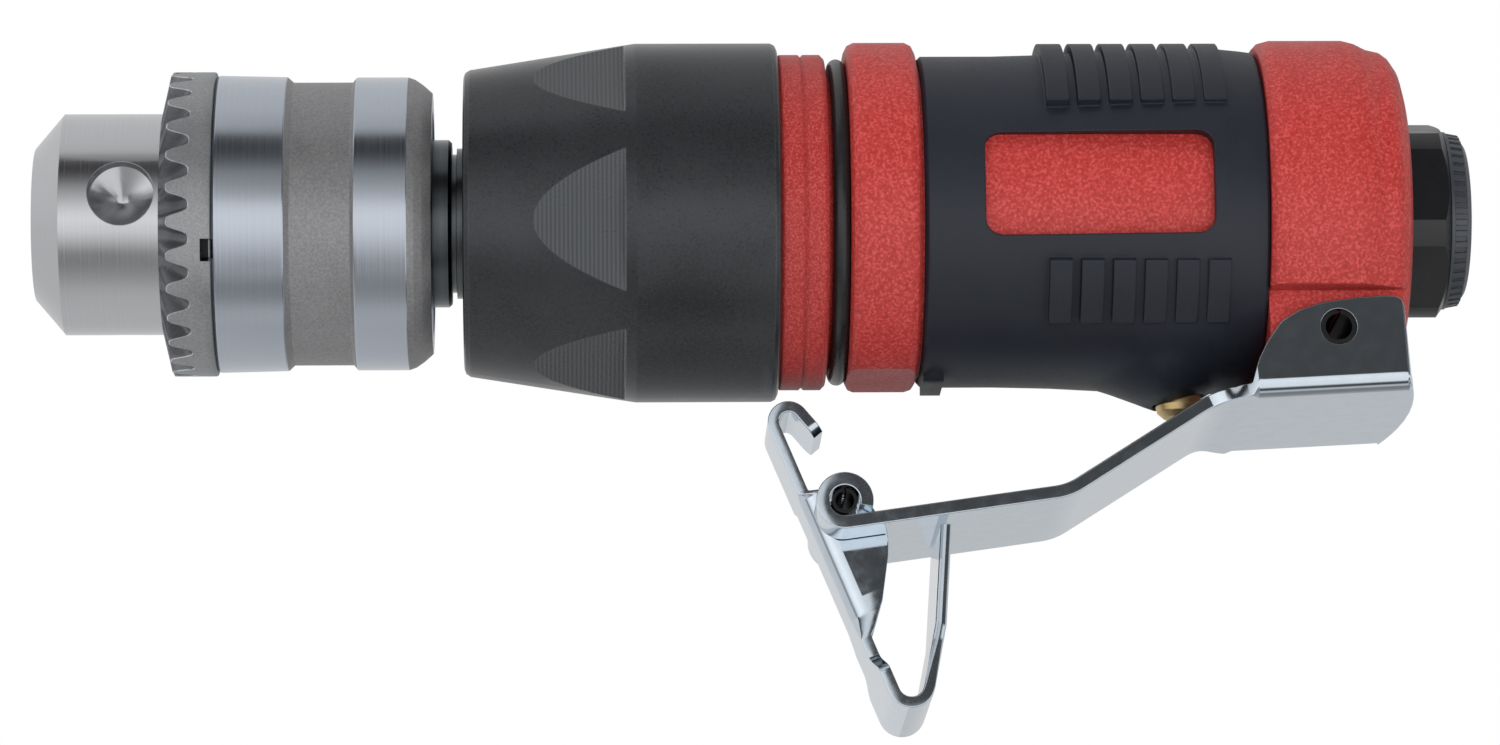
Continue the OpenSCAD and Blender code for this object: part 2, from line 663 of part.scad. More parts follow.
module grip_radius(r, a0, a1, x0, w) {
    rotate([0, 90, 0]) rotate([0, 0, a0 - 90]) translate([0, 0, x0]) rotate_extrude(angle = a1 - a0)
        translate([r - 2, 0]) square([2, w]);
}
module grip_sleeve() {
    pitch = 3.1;
    ridge_w = 2.2;
    ridge_x = 99.7;
    window_x = 93.5;
    ridge_r = grip_mid_r + ridge_h - 0.25;
    color(rubber) difference() {
        union() {
            turned([[barrel_r + fit, grip_x0], [grip_front_r - 0.4, grip_x0],
                [grip_front_r, grip_x0 + 0.4],
                [grip_front_r, 95], [grip_front_r + 0.15, 101],
                [(grip_front_r + grip_mid_r) / 2 + 0.1, 107],
                [grip_mid_r, 114], [grip_mid_r, 117], [grip_rear_r + 0.15, 120],
                [grip_rear_r, grip_x1 - 0.3],
                [grip_rear_r - 0.3, grip_x1], [barrel_r + fit, grip_x1]]);
            boss(1.2);
            translate([grip_x0 + 0.3, -3.4, -grip_front_r - 0.45]) cube([2, 6.8, 2]);
            for (i = [0 : ridge_n - 1]) {
                grip_radius(ridge_r, 208.5, 331.5, ridge_x + pitch * i, ridge_w);
                grip_radius(ridge_r, 132, 154, ridge_x + pitch * i, ridge_w);
                grip_radius(ridge_r, 26, 48, ridge_x + pitch * i, ridge_w);
            }
        }
        rod_x(barrel_r + fit, grip_x0 - cut, grip_x1 + cut);
        boss(fit);
        lug(fit);
        translate([valve_x, 0, 0]) rod_z(plunger_r + 0.4, tip_z - cut, -barrel_r + cut);
        translate([valve_x, 0, 0]) rod_z(bush_r + fit, bush_z - fit, seat_z);
        for (s = [-1, 1]) intersection() {
            rod_x(grip_mid_r + 2, window_x, window_x + window_l);
            translate([window_x + window_l / 2, s * grip_mid_r, 0]) rotate([90, 0, 0])
                linear_extrude(grip_mid_r, center = true) window_shape();
        }
    }
}
module window_shape() {
    h = grip_front_r * sin(window_a);
    c = 1.6;
    l = window_l / 2;
    polygon(concat([for (i = [0 : 4]) [l - c, h - c] + c * along(22.5 * i)],
        [for (i = [0 : 4]) [c - l, h - c] + c * along(90 + 22.5 * i)],
        [for (i = [0 : 4]) [c - l, c - h] + c * along(180 + 22.5 * i)],
        [for (i = [0 : 4]) [l - c, c - h] + c * along(270 + 22.5 * i)]));
}

// lever and latch
module lever_pin() {
    color(black) translate([pivot[0], 0, pivot[1]]) difference() {
        rod_y(lever_pin_r, -ear_w / 2, ear_w / 2);
        rod_y(lever_pin_r - 0.45, -ear_w, ear_w);
        translate([-0.2, -ear_w, 0]) cube([0.4, 2 * ear_w, lever_pin_r + cut]);
    }
}
// bent-up ears of the lever, as an outline counted from the pivot
module lever_ears() {
    w = ear_w / 2;
    top = [for (p = [[-9.6, -6], [-8.8, -4.4], [-8.1, -2.6],
        [-7.45, -1.2], [-6.6, -0.05], [-5.6, 0.79], [-4.35, 1.48], [-3.15, 2.01], [-1.9, 2.47],
        [-0.7, 2.75],
        [0.8, 2.96], [2.3, 3.08], [3.8, 3.13], [5.1, 3.15], [5.7, 3], [6, 2.6], [6.3, 1.8], [6.5, 0.6],
        [6.65, -1], [6.7, -3]]) pivot + p];
    ear = concat(top, [b2 + (floor_l - 2.6) * along(floor_a), b2 + 1.8 * along(floor_a)]);
    for (s = [-1, 1]) plate_y(ear, s > 0 ? w - lever_t : -w, s > 0 ? w : lever_t - w);
}
// takes the square lower corners off the bent-up part
module ear_bends() {
    w = ear_w / 2;
    r = 1.8;
    past = 0.03;
    m = [w - r + past, r - past];
    for (s = [-1, 1]) translate([b2[0], 0, b2[1]]) rotate([0, -floor_a, 0]) rotate([90, 0, 90])
        linear_extrude(floor_l + cut) polygon(concat(
            [[s * m[0], -cut], [s * (w + cut), -cut], [s * (w + cut), m[1]]],
            [for (i = [0 : 6]) [s * (m[0] + r * cos(15 * i)), m[1] - r * sin(15 * i)]]));
}
// the lever seen from below: narrow ahead of the bent-up sides, with a round tail
module lever_plan() {
    w = lever_w / 2;
    v = ear_w / 2;
    tail = 47.7;
    x0 = eye[0] - eye_r - cut;
    x1 = b2[0] - 0.7;
    x2 = x1 + 4.5;
    x3 = pivot[0] + 8.9;
    translate([0, 0, eye[1] - 2 * eye_r]) linear_extrude(pivot[1] - eye[1] + 4 * eye_r) intersection() {
        polygon([[x0, -w], [x1, -w], [x2, -v], [x3, -v], [x3, v], [x2, v], [x1, w], [x0, w]]);
        translate([x3 - tail, 0]) circle(tail);
    }
}
module throttle_lever() {
    w = lever_w / 2;
    v = ear_w / 2;
    line = concat([b0], bend(b0, b1, b2, 6 + lever_t), bend(b1, b2, b3, 4), [b3, t3],
        bend(t3, t2, t1, 4 + lever_t), bend(t2, t1, t0, 6), [t0]);
    color(chrome) difference() {
        intersection() {
            union() {
                plate_y(line, -v, v);
                lever_ears();
                translate([eye[0], 0, eye[1]]) rod_y(eye_r, -w, w);
            }
            lever_plan();
        }
        ear_bends();
        translate([eye[0], 0, eye[1]]) rod_y(latch_pin_r, -lever_w, lever_w);
        translate([eye[0] - eye_r - cut, -knuckle_y, eye[1] - eye_r - cut])
            cube([eye_r + cut + slot_l, 2 * knuckle_y, 2 * eye_r + 2 * cut]);
        translate([pivot[0], 0, pivot[1]]) rod_y(lever_pin_r + run, -lever_w, lever_w);
        for (s = [-1, 1]) translate([pivot[0], s * v, pivot[1]]) rotate([s * 90, 0, 0])
            translate([0, 0, -0.1]) cylinder(r1 = lever_pin_r + run + 0.4, r2 = lever_pin_r - 0.05, h = 0.5);
        translate([eye[0], -lever_w, eye[1]]) rotate([0, 6, 0]) translate([0, 0, -0.2])
            cube([eye_r + 0.3, 2 * lever_w, 0.4]);
    }
}
module latch_pin() {
    w = lever_w / 2 - 0.2;
    color(black) translate([eye[0], 0, eye[1]]) difference() {
        rod_y(latch_pin_r, -w, w);
        rod_y(latch_pin_r - 0.35, -w - cut, w + cut);
        translate([-0.15, -w - cut, 0]) cube([0.3, 2 * w + 2 * cut, latch_pin_r + cut]);
    }
}
module safety_latch() {
    d = along(leg_a);
    n = across(leg_a);
    low = 15.8;
    sweep = leg_a - arm_a + 180;
    arch = [for (i = [0 : 12]) hook_mid + hook_bend * along(arm_a + 90 + sweep * i / 12)];
    leg = concat([arch[0] + arm_l * along(arm_a)], arch, [leg_d * n + low * d]);
    loop = concat([leg_d * n + (low - 1) * d], bend(leg_d * n, loop_low, loop_mid, loop_bend, 10),
        bend(loop_low, loop_mid, loop_end, 12), [loop_end]);
    face = leg_d + latch_t / 2 - 0.05;
    ear = [face * n - 3 * d, face * n + 12.9 * d, [3.6, -9], [4.2, -4.4], [3.6, -3.3], [2.4, -1],
        [0.6, 2.5], [-1, 2.4]];
    hw = hook_w / 2;
    color(chrome) translate([eye[0], 0, eye[1]]) difference() {
        union() {
            plate_y(strip(leg, latch_t), -hw, hw);
            plate_y(strip(loop, latch_t), -loop_w / 2, loop_w / 2);
            for (s = [-1, 1]) {
                plate_y(ear, s > 0 ? hw - latch_t : -hw, s > 0 ? hw : latch_t - hw);
                rod_y(2.6, s > 0 ? hw - latch_t : -hw, s > 0 ? hw : latch_t - hw);
            }
        }
        rod_y(latch_pin_r + run, -lever_w, lever_w);
    }
}
module latch_spring() {
    r = 1.85;
    w = 0.3;
    y0 = 2.6;
    turns = 4;
    d = along(leg_a);
    n = across(leg_a);
    a0 = ang(-n);
    a1 = a0 + 360 * turns + turn(a0, 90);
    m = 80;
    coil = [for (i = [0 : m]) let (a = a0 + (a1 - a0) * i / m, q = r * along(a)) [q[0],
        -y0 + 2 * y0 * i / m, q[1]]];
    q0 = -r * n + 7 * d;
    echo(latch_spring_gap = least_gap(coil, w, 10));
    color(steel) translate([eye[0], 0, eye[1]])
        wire(concat([[q0[0], -y0, q0[1]]], coil, [[7.6, y0, 0.25]]), w, [0, 1, 0], 6);
}

// throttle valve
module plunger_bush() {
    color(brass) translate([valve_x, 0, 0]) difference() {
        rod_z(bush_r, bush_z, seat_z);
        rod_z(plunger_r + run, bush_z - cut, seat_z + cut);
        translate([0, 0, seat_z - 2]) rod_x(1.5, -bush_r - cut, 0);
    }
}
module throttle_plunger() {
    neck = plunger_r - 0.75;
    color(brass) translate([valve_x, 0, 0]) rotate_extrude() polygon([[0, tip_z], [0.8, tip_z + 0.08],
        [1.5, tip_z + 0.35], [plunger_r - 0.15, tip_z + 0.9], [plunger_r, tip_z + 1.5],
        [plunger_r, seal_z - 0.3],
        [plunger_r - 0.5, seal_z - 0.3], [plunger_r - 0.5, seal_z + 0.3], [plunger_r, seal_z + 0.3],
        [plunger_r, seal_z + 1], [neck, seal_z + 1.6],
        [neck, seat_z + 0.95], [3.5, seat_z + 0.95], [3.5, head_z1], [neck, head_z1],
        [neck, head_z1 + 3], [0, head_z1 + 3]]);
}
module plunger_seal() {
    color(rubber) translate([valve_x, 0, seal_z]) rotate_extrude() translate([plunger_r - 0.24, 0])
        circle(0.24, $fn = 24);
}
module valve_washer() {
    neck = plunger_r - 0.75;
    color(rubber) translate([valve_x, 0, seat_z]) difference() {
        rod_z(3.4, run, 0.93);
        rod_z(neck + fit, -cut, 2);
    }
}
module valve_spring() {
    w = 0.3;
    r = 2.2;
    z0 = head_z1 + w + fit;
    z1 = chamber_z - w - fit;
    turns = 6;
    m = 24 * turns;
    coil = [for (i = [0 : m]) let (a = 360 * turns * i / m)
        [r * cos(a), r * sin(a), z0 + (z1 - z0) * i / m]];
    echo(valve_spring_gap = least_gap(coil, w, 12));
    color(steel) translate([valve_x, 0, 0]) wire(coil, w, [0, 0, 1], 6);
}

// air inlet
module inlet_bushing() {
    lip = neck_r + 0.25;
    color(black) difference() {
        union() {
            rod_x(inlet_thread, inlet_x0, head_x1);
            intersection() {
                at(-21 + 30) translate([head_x1, 0, 0]) rotate([0, 90, 0])
                    cylinder(r = hex_af / sqrt(3), h = hex_x1 - head_x1 + 0.7, $fn = 6);
                turned([[0, head_x1], [hex_r, head_x1], [hex_r, hex_x1], [hex_r - 1, collar_x],
                    [0, collar_x]]);
            }
            rod_x(neck_r, collar_x - cut, end_x);
            rod_x(lip, end_x - 0.5, end_x);
        }
        rod_x(inlet_r, screen_x + screen_t, end_x + cut);
        rod_x(screen_r, screen_x, end_x);
        rod_x(pass_r + 0.4, inlet_x0 - cut, end_x);
    }
}
module inlet_seal() {
    color(rubber) rotate([0, 90, 0]) translate([0, 0, head_x1 - 0.65]) rotate_extrude()
        translate([inlet_thread + 0.7, 0]) circle(0.63, $fn = 32);
}
module inlet_screen() {
    hole = 0.5;
    pitch = 1.75;
    color(steel) difference() {
        rod_x(screen_r - fit, screen_x, screen_x + screen_t);
        rod_x(hole, screen_x - cut, screen_x + cut);
        for (q = [1, 2], k = [0 : 6 * q - 1]) at(60 * k / q) translate([0, -pitch * q, 0])
            rod_x(hole, screen_x - cut, screen_x + cut);
    }
}
module inlet_ring() {
    x0 = collar_x + 0.06;
    valley = collar_r - 0.4;
    rib_w = PI * collar_r / rib_n;
    rib_l = end_x - x0 - 0.7;
    color(black) difference() {
        union() {
            turned([[neck_r + run, x0], [collar_r, x0], [collar_r, x0 + 0.35], [valley, x0 + 0.4],
                [valley - 0.15, end_x - 0.5], [valley - 0.9, end_x], [neck_r + run, end_x]]);
            intersection() {
                for (k = [0 : rib_n - 1]) at(360 * k / rib_n) translate([x0 + 0.2, -collar_r - cut, -rib_w / 2])
                    cube([rib_l, cut + 0.9, rib_w]);
                turned([[neck_r + 0.6, x0], [collar_r - 0.04, x0], [collar_r - 0.35, end_x - 0.4],
                    [neck_r + 0.6, end_x - 0.4]]);
            }
        }
        rod_x(neck_r + 0.3, end_x - 0.6, end_x + cut);
    }
}

chuck_body();
chuck_jaw_1();
chuck_jaw_2();
chuck_jaw_3();
chuck_key_ring();
chuck_sleeve();
chuck_nut();
spindle();
planet_pins();
planet_gear_1();
planet_gear_2();
planet_gear_3();
ring_gear();
spindle_bearing_outers();
spindle_bearing_inners();
spindle_bearing_balls();
bearing_spacer();
front_housing();
front_adaptor();
housing_seal();
front_end_plate();
motor_cylinder();
rear_end_plate();
cylinder_dowel();
rotor();
rotor_vanes();
rotor_bearing_outers();
rotor_bearing_inners();
rotor_bearing_balls();
motor_housing();
grip_sleeve();
lever_pin();
throttle_lever();
latch_pin();
safety_latch();
latch_spring();
plunger_bush();
throttle_plunger();
plunger_seal();
valve_washer();
valve_spring();
inlet_bushing();
inlet_seal();
inlet_screen();
inlet_ring();
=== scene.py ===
"""Looks of the straight air drill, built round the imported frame.

Sizes are in millimetres until a mesh or a material is made.
"""

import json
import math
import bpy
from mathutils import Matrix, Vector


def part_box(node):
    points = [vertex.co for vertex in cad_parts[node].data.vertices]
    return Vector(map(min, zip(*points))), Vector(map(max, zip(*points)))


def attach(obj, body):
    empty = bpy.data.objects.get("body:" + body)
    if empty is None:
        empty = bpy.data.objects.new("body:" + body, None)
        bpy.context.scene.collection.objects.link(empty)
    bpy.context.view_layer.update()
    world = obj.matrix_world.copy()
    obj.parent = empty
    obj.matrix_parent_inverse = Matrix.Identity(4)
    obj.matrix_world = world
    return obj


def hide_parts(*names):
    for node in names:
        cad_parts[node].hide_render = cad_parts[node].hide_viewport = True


bl_info = {
    "name": "Air Drill Looks",
    "version": (1, 1, 0),
    "blender": (4, 5, 0),
    "location": "View3D > Sidebar > Air Drill",
    "description": "Dresses the packed air drill with its finishes and fine shapes",
    "category": "Object",
}

import bmesh
import bpy
from mathutils import Matrix, Vector

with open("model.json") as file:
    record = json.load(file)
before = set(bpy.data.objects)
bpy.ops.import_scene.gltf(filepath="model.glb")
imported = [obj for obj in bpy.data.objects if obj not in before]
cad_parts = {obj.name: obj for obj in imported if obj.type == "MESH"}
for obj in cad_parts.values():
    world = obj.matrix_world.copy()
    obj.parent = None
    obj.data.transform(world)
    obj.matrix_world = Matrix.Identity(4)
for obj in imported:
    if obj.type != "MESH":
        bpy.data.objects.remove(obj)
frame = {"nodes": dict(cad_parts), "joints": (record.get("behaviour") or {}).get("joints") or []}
NODES = frame["nodes"]
JOINTS = {joint["name"]: joint for joint in frame["joints"]}
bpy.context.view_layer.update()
MM = 0.001
# rounding that the broken edges of machined metal show, in metres
BROKEN_EDGE = 0.12 * MM


def span(node, axis):
    """Lowest and highest coordinate of a CAD node along one axis, in millimetres."""
    low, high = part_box(node)
    return low[axis] / MM, high[axis] / MM


def hinge_point(joint):
    """Where a hinge's axis crosses the middle plane, as x and z in millimetres."""
    x, _, z = JOINTS[joint]["pos_m"]
    return Vector((x, z)) / MM


def linear(code):
    """sRGB hex colour as linear red, green and blue."""
    parts = [int(code[i:i + 2], 16) / 255 for i in (1, 3, 5)]
    return tuple(p / 12.92 if p <= 0.04045 else ((p + 0.055) / 1.055) ** 2.4 for p in parts)


class DrillSizes(bpy.types.PropertyGroup):
    """Sizes of the fine shapes, in millimetres."""

    tooth_count: bpy.props.IntProperty(
        name="Ring teeth", default=28, min=20, max=36,
        description="Number of teeth on the chuck's key ring")
    tooth_depth: bpy.props.FloatProperty(
        name="Tooth depth", default=2.2,
        description="How far a gullet runs back from the ring's edge, in mm")
    sheet_edge: bpy.props.FloatProperty(
        name="Sheet edge", default=0.1,
        description="Rounding of the edges of the chromed sheet, in mm")
    lever_sheet: bpy.props.FloatProperty(
        name="Lever sheet", default=1.3,
        description="Thickness of the lever's sheet, in mm")
    latch_sheet: bpy.props.FloatProperty(
        name="Latch sheet", default=1.1,
        description="Thickness of the latch's sheet, in mm")
    paint_grain: bpy.props.FloatProperty(
        name="Paint grain", default=0.2,
        description="Width of a wrinkle of the paint, in mm")
    turning_pitch: bpy.props.FloatProperty(
        name="Turning pitch", default=0.14,
        description="Spacing of the lathe's marks on the chuck, in mm")
    milling_pitch: bpy.props.FloatProperty(
        name="Milling pitch", default=0.42,
        description="Spacing of the cutter's marks on the spanner flats, in mm")


class DrillColours(bpy.types.PropertyGroup):
    """Base colours of the finishes."""

    nose_steel: bpy.props.FloatVectorProperty(
        name="Nose", subtype="COLOR", default=linear("#c9cacd"),
        description="Turned steel of the chuck's nose")
    sleeve_steel: bpy.props.FloatVectorProperty(
        name="Sleeve", subtype="COLOR", default=linear("#bec5cf"),
        description="Turned steel of the chuck's sleeve")
    ring_steel: bpy.props.FloatVectorProperty(
        name="Key ring", subtype="COLOR", default=linear("#acaeb0"),
        description="Blasted steel of the key ring")
    housing_black: bpy.props.FloatVectorProperty(
        name="Front housing", subtype="COLOR", default=linear("#393b3e"),
        description="Blackened steel")
    paint_red: bpy.props.FloatVectorProperty(
        name="Paint", subtype="COLOR", default=linear("#a9322e"),
        description="Wrinkle paint of the motor housing")
    grip_slate: bpy.props.FloatVectorProperty(
        name="Grip", subtype="COLOR", default=linear("#1b1f28"),
        description="Moulded rubber of the grip")
    chrome: bpy.props.FloatVectorProperty(
        name="Chrome", subtype="COLOR", default=linear("#d9e4ee"),
        description="Plated lever and latch")
    brass: bpy.props.FloatVectorProperty(
        name="Brass", subtype="COLOR", default=linear("#dcc08a"),
        description="Throttle plunger")


def sizes():
    return bpy.context.scene.drill_sizes


def colours():
    return bpy.context.scene.drill_colours


# Materials


def add(tree, kind, links=None, **settings):
    """Adds a node with its settings.

    links gives its inputs as values, as sockets, or as nodes for their first output.
    """
    made = tree.nodes.new(kind)
    for key, value in settings.items():
        setattr(made, key, value)
    for key, value in (links or {}).items():
        if isinstance(value, bpy.types.Node):
            value = value.outputs[0]
        if isinstance(value, bpy.types.NodeSocket):
            tree.links.new(value, made.inputs[key])
        else:
            made.inputs[key].default_value = value
    return made


def start(name):
    """Empty material; gives the material, its tree and the place on the part, in metres."""
    mat = bpy.data.materials.new(name)
    mat.use_nodes = True
    tree = mat.node_tree
    tree.nodes.clear()
    return mat, tree, add(tree, "ShaderNodeTexCoord").outputs["Object"]


def surface(mat, tree, links):
    """Ends a material in a principled surface."""
    add(tree, "ShaderNodeOutputMaterial", {"Surface": add(tree, "ShaderNodeBsdfPrincipled", links)})
    return mat


def per_mm(size):
    """Scale of a noise whose lumps are about that many millimetres across."""
    return 0.7 / (size * MM)


def shade(colour, factor):
    """Colour made darker or lighter, with full alpha."""
    return (*(min(1.0, c * factor) for c in colour), 1.0)


def calc(tree, operation, *values):
    """Sum on one to three values."""
    return add(tree, "ShaderNodeMath", dict(enumerate(values)), operation=operation)


def noise(tree, place, size, detail=3.0, rough=0.5):
    """Noise with lumps of about a size in millimetres."""
    links = {"Vector": place, "Scale": per_mm(size), "Detail": detail, "Roughness": rough}
    return add(tree, "ShaderNodeTexNoise", links)


def spread(tree, value, low, high, first=0.0, last=1.0):
    """Stretches one range of a value to another and stops at its ends."""
    return add(tree, "ShaderNodeMapRange", {0: value, 1: low, 2: high, 3: first, 4: last})


def between(tree, share, first, last):
    """Value between two values."""
    return add(tree, "ShaderNodeMix", {0: share, 2: first, 3: last})


def tinted(tree, share, first, last):
    """Colour between two colours."""
    return add(tree, "ShaderNodeMix", {0: share, 6: first, 7: last}, data_type="RGBA").outputs[2]


def soft_edges(tree, radius, samples=6):
    """Normal that is rounded over edges by a radius in metres."""
    return add(tree, "ShaderNodeBevel", {"Radius": radius}, samples=samples)


def raised(tree, height, rise, strength, normal):
    """Normal with a relief of a height that rises so many millimetres."""
    links = {"Strength": strength, "Distance": rise * MM, "Height": height, "Normal": normal}
    return add(tree, "ShaderNodeBump", links)


def lathe_lines(tree, place, pitch):
    """Fine rings as a lathe tool leaves them, along the axis and on end faces."""
    xyz = add(tree, "ShaderNodeSeparateXYZ", {0: place})
    off_axis = add(tree, "ShaderNodeCombineXYZ", {1: xyz.outputs[1], 2: xyz.outputs[2]})
    radius = add(tree, "ShaderNodeVectorMath", {0: off_axis}, operation="LENGTH").outputs["Value"]
    run = calc(tree, "ADD", xyz.outputs[0], radius)
    links = {"W": run, "Scale": per_mm(pitch), "Detail": 3.0, "Roughness": 0.7}
    return add(tree, "ShaderNodeTexNoise", links, noise_dimensions="1D")


def turned_steel(name, colour, rough=0.2, pitch=0.14, tone=0.06):
    """Lathe-turned steel: fine rings that break up a soft mirror, with a faint cloudiness from handling."""
    mat, tree, place = start(name)
    lines = lathe_lines(tree, place, pitch)
    mixed = between(tree, 0.45, lines, noise(tree, place, 6.0))
    amount = spread(tree, mixed, 0.3, 0.7)
    tint = tinted(tree, amount, shade(colour, 1 - tone), shade(colour, 1 + tone))
    gloss = spread(tree, mixed, 0.3, 0.7, rough - 0.05, rough + 0.06)
    marks = raised(tree, lines, 0.003, 0.4, soft_edges(tree, BROKEN_EDGE))
    return surface(mat, tree, {"Base Color": tint, "Metallic": 1.0, "Roughness": gloss, "Normal": marks})


def blasted_steel(name, colour, rough=0.5, grit=0.16):
    """Bead-blasted steel: an even grey with a fine sandy grain that kills the mirror."""
    mat, tree, place = start(name)
    fine = noise(tree, place, grit, 2.0, 0.6)
    cloud = noise(tree, place, 3.0)
    amount = spread(tree, between(tree, 0.4, fine, cloud), 0.34, 0.66)
    tint = tinted(tree, amount, shade(colour, 0.78), shade(colour, 1.18))
    gloss = spread(tree, cloud, 0.3, 0.7, rough - 0.06, rough + 0.08)
    sand = raised(tree, fine, 0.02, 0.5, soft_edges(tree, BROKEN_EDGE))
    return surface(mat, tree, {"Base Color": tint, "Metallic": 0.9, "Roughness": gloss, "Normal": sand})


def blackened_steel(name, colour, pitch):
    """Black-oxide steel: satin charcoal with a fine speckle, edges lightened partly as rubbed wear and
    partly as a painted highlight, and spanner flats with cutter marks, lightened partly as their cut finish
    and partly as a painted highlight.
    """
    mat, tree, place = start(name)
    fine = noise(tree, place, 0.2, 2.0, 0.6)
    mixed = between(tree, 0.5, fine, noise(tree, place, 8.0))
    run = add(tree, "ShaderNodeSeparateXYZ", {0: place}).outputs[0]
    # ahead of the shoulder only the flats have a normal with no part along X
    geometry = add(tree, "ShaderNodeNewGeometry")
    lean = add(tree, "ShaderNodeSeparateXYZ", {0: geometry.outputs["True Normal"]})
    shoulder = (span("front_housing", 0)[0] + 16.0) * MM
    level = calc(tree, "COMPARE", lean, 0.0, 0.02)
    flat = calc(tree, "MULTIPLY", level, calc(tree, "LESS_THAN", run, shoulder))
    wave = calc(tree, "SINE", calc(tree, "MULTIPLY", run, 2 * math.pi / (pitch * MM)))
    uneven = calc(tree, "MULTIPLY", wave, noise(tree, place, 1.4, 2.0))
    marks = calc(tree, "MULTIPLY", uneven, flat)
    base = tinted(tree, spread(tree, mixed, 0.36, 0.64), shade(colour, 0.75), shade(colour, 1.22))
    # the flats are lightened partly as their cut finish and partly as a painted highlight
    milled_and_highlit_flats = tinted(tree, spread(tree, marks, -0.3, 0.3), shade(colour, 1.3), shade(colour, 1.9))
    gloss = spread(tree, mixed, 0.36, 0.64, 0.25, 0.33)
    # an edge is where the rounded normal leaves the plain one
    edges = soft_edges(tree, 0.22 * MM)
    plain = {0: edges, 1: geometry.outputs["Normal"]}
    match = add(tree, "ShaderNodeVectorMath", plain, operation="DOT_PRODUCT").outputs["Value"]
    # edges lightened toward pale grey: partly rubbed-off oxide and partly a painted highlight
    rubbed_and_highlit_edges = spread(tree, match, 0.995, 0.9, 0.0, 0.55)
    worn = tinted(tree, rubbed_and_highlit_edges, tinted(tree, flat, base, milled_and_highlit_flats), (*linear("#8f9295"), 1))
    relief = raised(tree, marks, 0.015, 0.5, raised(tree, fine, 0.012, 0.3, edges))
    return surface(mat, tree, {"Base Color": worn, "Metallic": 0.55, "Roughness": gloss, "Normal": relief})


def wrinkle_paint(name, colour, grain):
    """Powder paint that dried to a fine wrinkle: packed lumps with small pale glints on their tops."""
    mat, tree, place = start(name)
    links = {"Vector": place, "Scale": 0.66 / (grain * MM)}
    cells = add(tree, "ShaderNodeTexVoronoi", links, feature="SMOOTH_F1")
    tops = calc(tree, "MULTIPLY_ADD", cells, -0.5, noise(tree, place, grain, 3.0, 0.6))
    base = tinted(tree, spread(tree, tops, -0.05, 0.42), shade(colour, 0.7), shade(colour, 1.16))
    glint = spread(tree, tops, 0.28, 0.48, 0.0, 0.26)
    tint = tinted(tree, glint, base, (*linear("#dd7676"), 1))
    gloss = spread(tree, noise(tree, place, 5.0), 0.3, 0.7, 0.42, 0.54)
    lumps = raised(tree, tops, 0.32 * grain, 0.6, soft_edges(tree, 0.4 * MM))
    return surface(mat, tree, {"Base Color": tint, "Roughness": gloss, "IOR": 1.45, "Normal": lumps})


def moulded_rubber(name, colour, rough=0.48, grit=0.2, high=0.02, edge=0.3, swell=None):
    """Moulded rubber: dark and matt, with the fine spark-eroded grain of its mould.

    edge is the rounding of its edges; swell, where given, is that of the edges on the underside.
    """
    mat, tree, place = start(name)
    fine = noise(tree, place, grit, 2.0, 0.6)
    mixed = between(tree, 0.5, fine, noise(tree, place, 7.0))
    tint = tinted(tree, spread(tree, mixed, 0.35, 0.65), shade(colour, 0.8), shade(colour, 1.2))
    gloss = spread(tree, mixed, 0.35, 0.65, rough - 0.05, rough + 0.08)
    radius, samples = edge * MM, 6
    if swell:
        level = add(tree, "ShaderNodeSeparateXYZ", {0: place}).outputs[2]
        radius, samples = spread(tree, level, -13.7 * MM, -15 * MM, edge * MM, swell * MM), 12
    skin = raised(tree, fine, high, 0.5, soft_edges(tree, radius, samples))
    return surface(mat, tree, {"Base Color": tint, "Roughness": gloss, "IOR": 1.5, "Normal": skin})


def plated_chrome(name, colour):
    """Chrome plate over pressed sheet: a near mirror with the faint waviness and haze of polished sheet."""
    mat, tree, place = start(name)
    haze = noise(tree, place, 1.2, 3.0, 0.6)
    tint = tinted(tree, spread(tree, haze, 0.35, 0.65), shade(colour, 0.94), shade(colour, 1.0))
    gloss = spread(tree, haze, 0.35, 0.65, 0.05, 0.1)
    sheet = raised(tree, noise(tree, place, 5.0, 1.0), 0.03, 0.2, soft_edges(tree, 0.08 * MM))
    return surface(mat, tree, {"Base Color": tint, "Metallic": 1.0, "Roughness": gloss, "Normal": sheet})


def anodised_black(name, code, rough=0.3, shine=0.5):
    """Black anodised bar: deep black with a satin gloss and fine turning lines."""
    mat, tree, place = start(name)
    colour = linear(code)
    lines = lathe_lines(tree, place, 0.2)
    cloud = noise(tree, place, 4.0)
    tint = tinted(tree, cloud, shade(colour, 0.75), shade(colour, 1.4))
    gloss = spread(tree, cloud, 0.3, 0.7, rough - 0.05, rough + 0.08)
    marks = raised(tree, lines, 0.004, 0.4, soft_edges(tree, BROKEN_EDGE))
    return surface(mat, tree, {"Base Color": tint, "Metallic": 0.35, "Roughness": gloss,
                               "Specular IOR Level": shine, "Normal": marks})


# Shapes


def along(angle):
    """Direction at an angle in degrees, as x and z."""
    return Vector((math.cos(math.radians(angle)), math.sin(math.radians(angle))))


def across(angle):
    """Direction square to an angle in degrees."""
    return along(angle + 90)


def rounded(points, radius, steps):
    """Line of points with its inner corners turned into arcs of a radius, or of the largest that fits."""
    points = [Vector(p) for p in points]
    out = [points[0]]
    for a, b, c in zip(points, points[1:], points[2:]):
        u, w = (a - b), (c - b)
        half = u.angle(w) / 2
        reach = min(radius / math.tan(half), 0.48 * u.length, 0.48 * w.length)
        mid = b + (u.normalized() + w.normalized()).normalized() * (reach / math.cos(half))
        first, last = b + u.normalized() * reach - mid, b + w.normalized() * reach - mid
        angle = math.atan2(first.y, first.x)
        sweep = (math.atan2(last.y, last.x) - angle + math.pi) % (2 * math.pi) - math.pi
        for i in range(steps + 1):
            turn = angle + sweep * i / steps
            out.append(mid + first.length * Vector((math.cos(turn), math.sin(turn))))
    return out + [points[-1]]


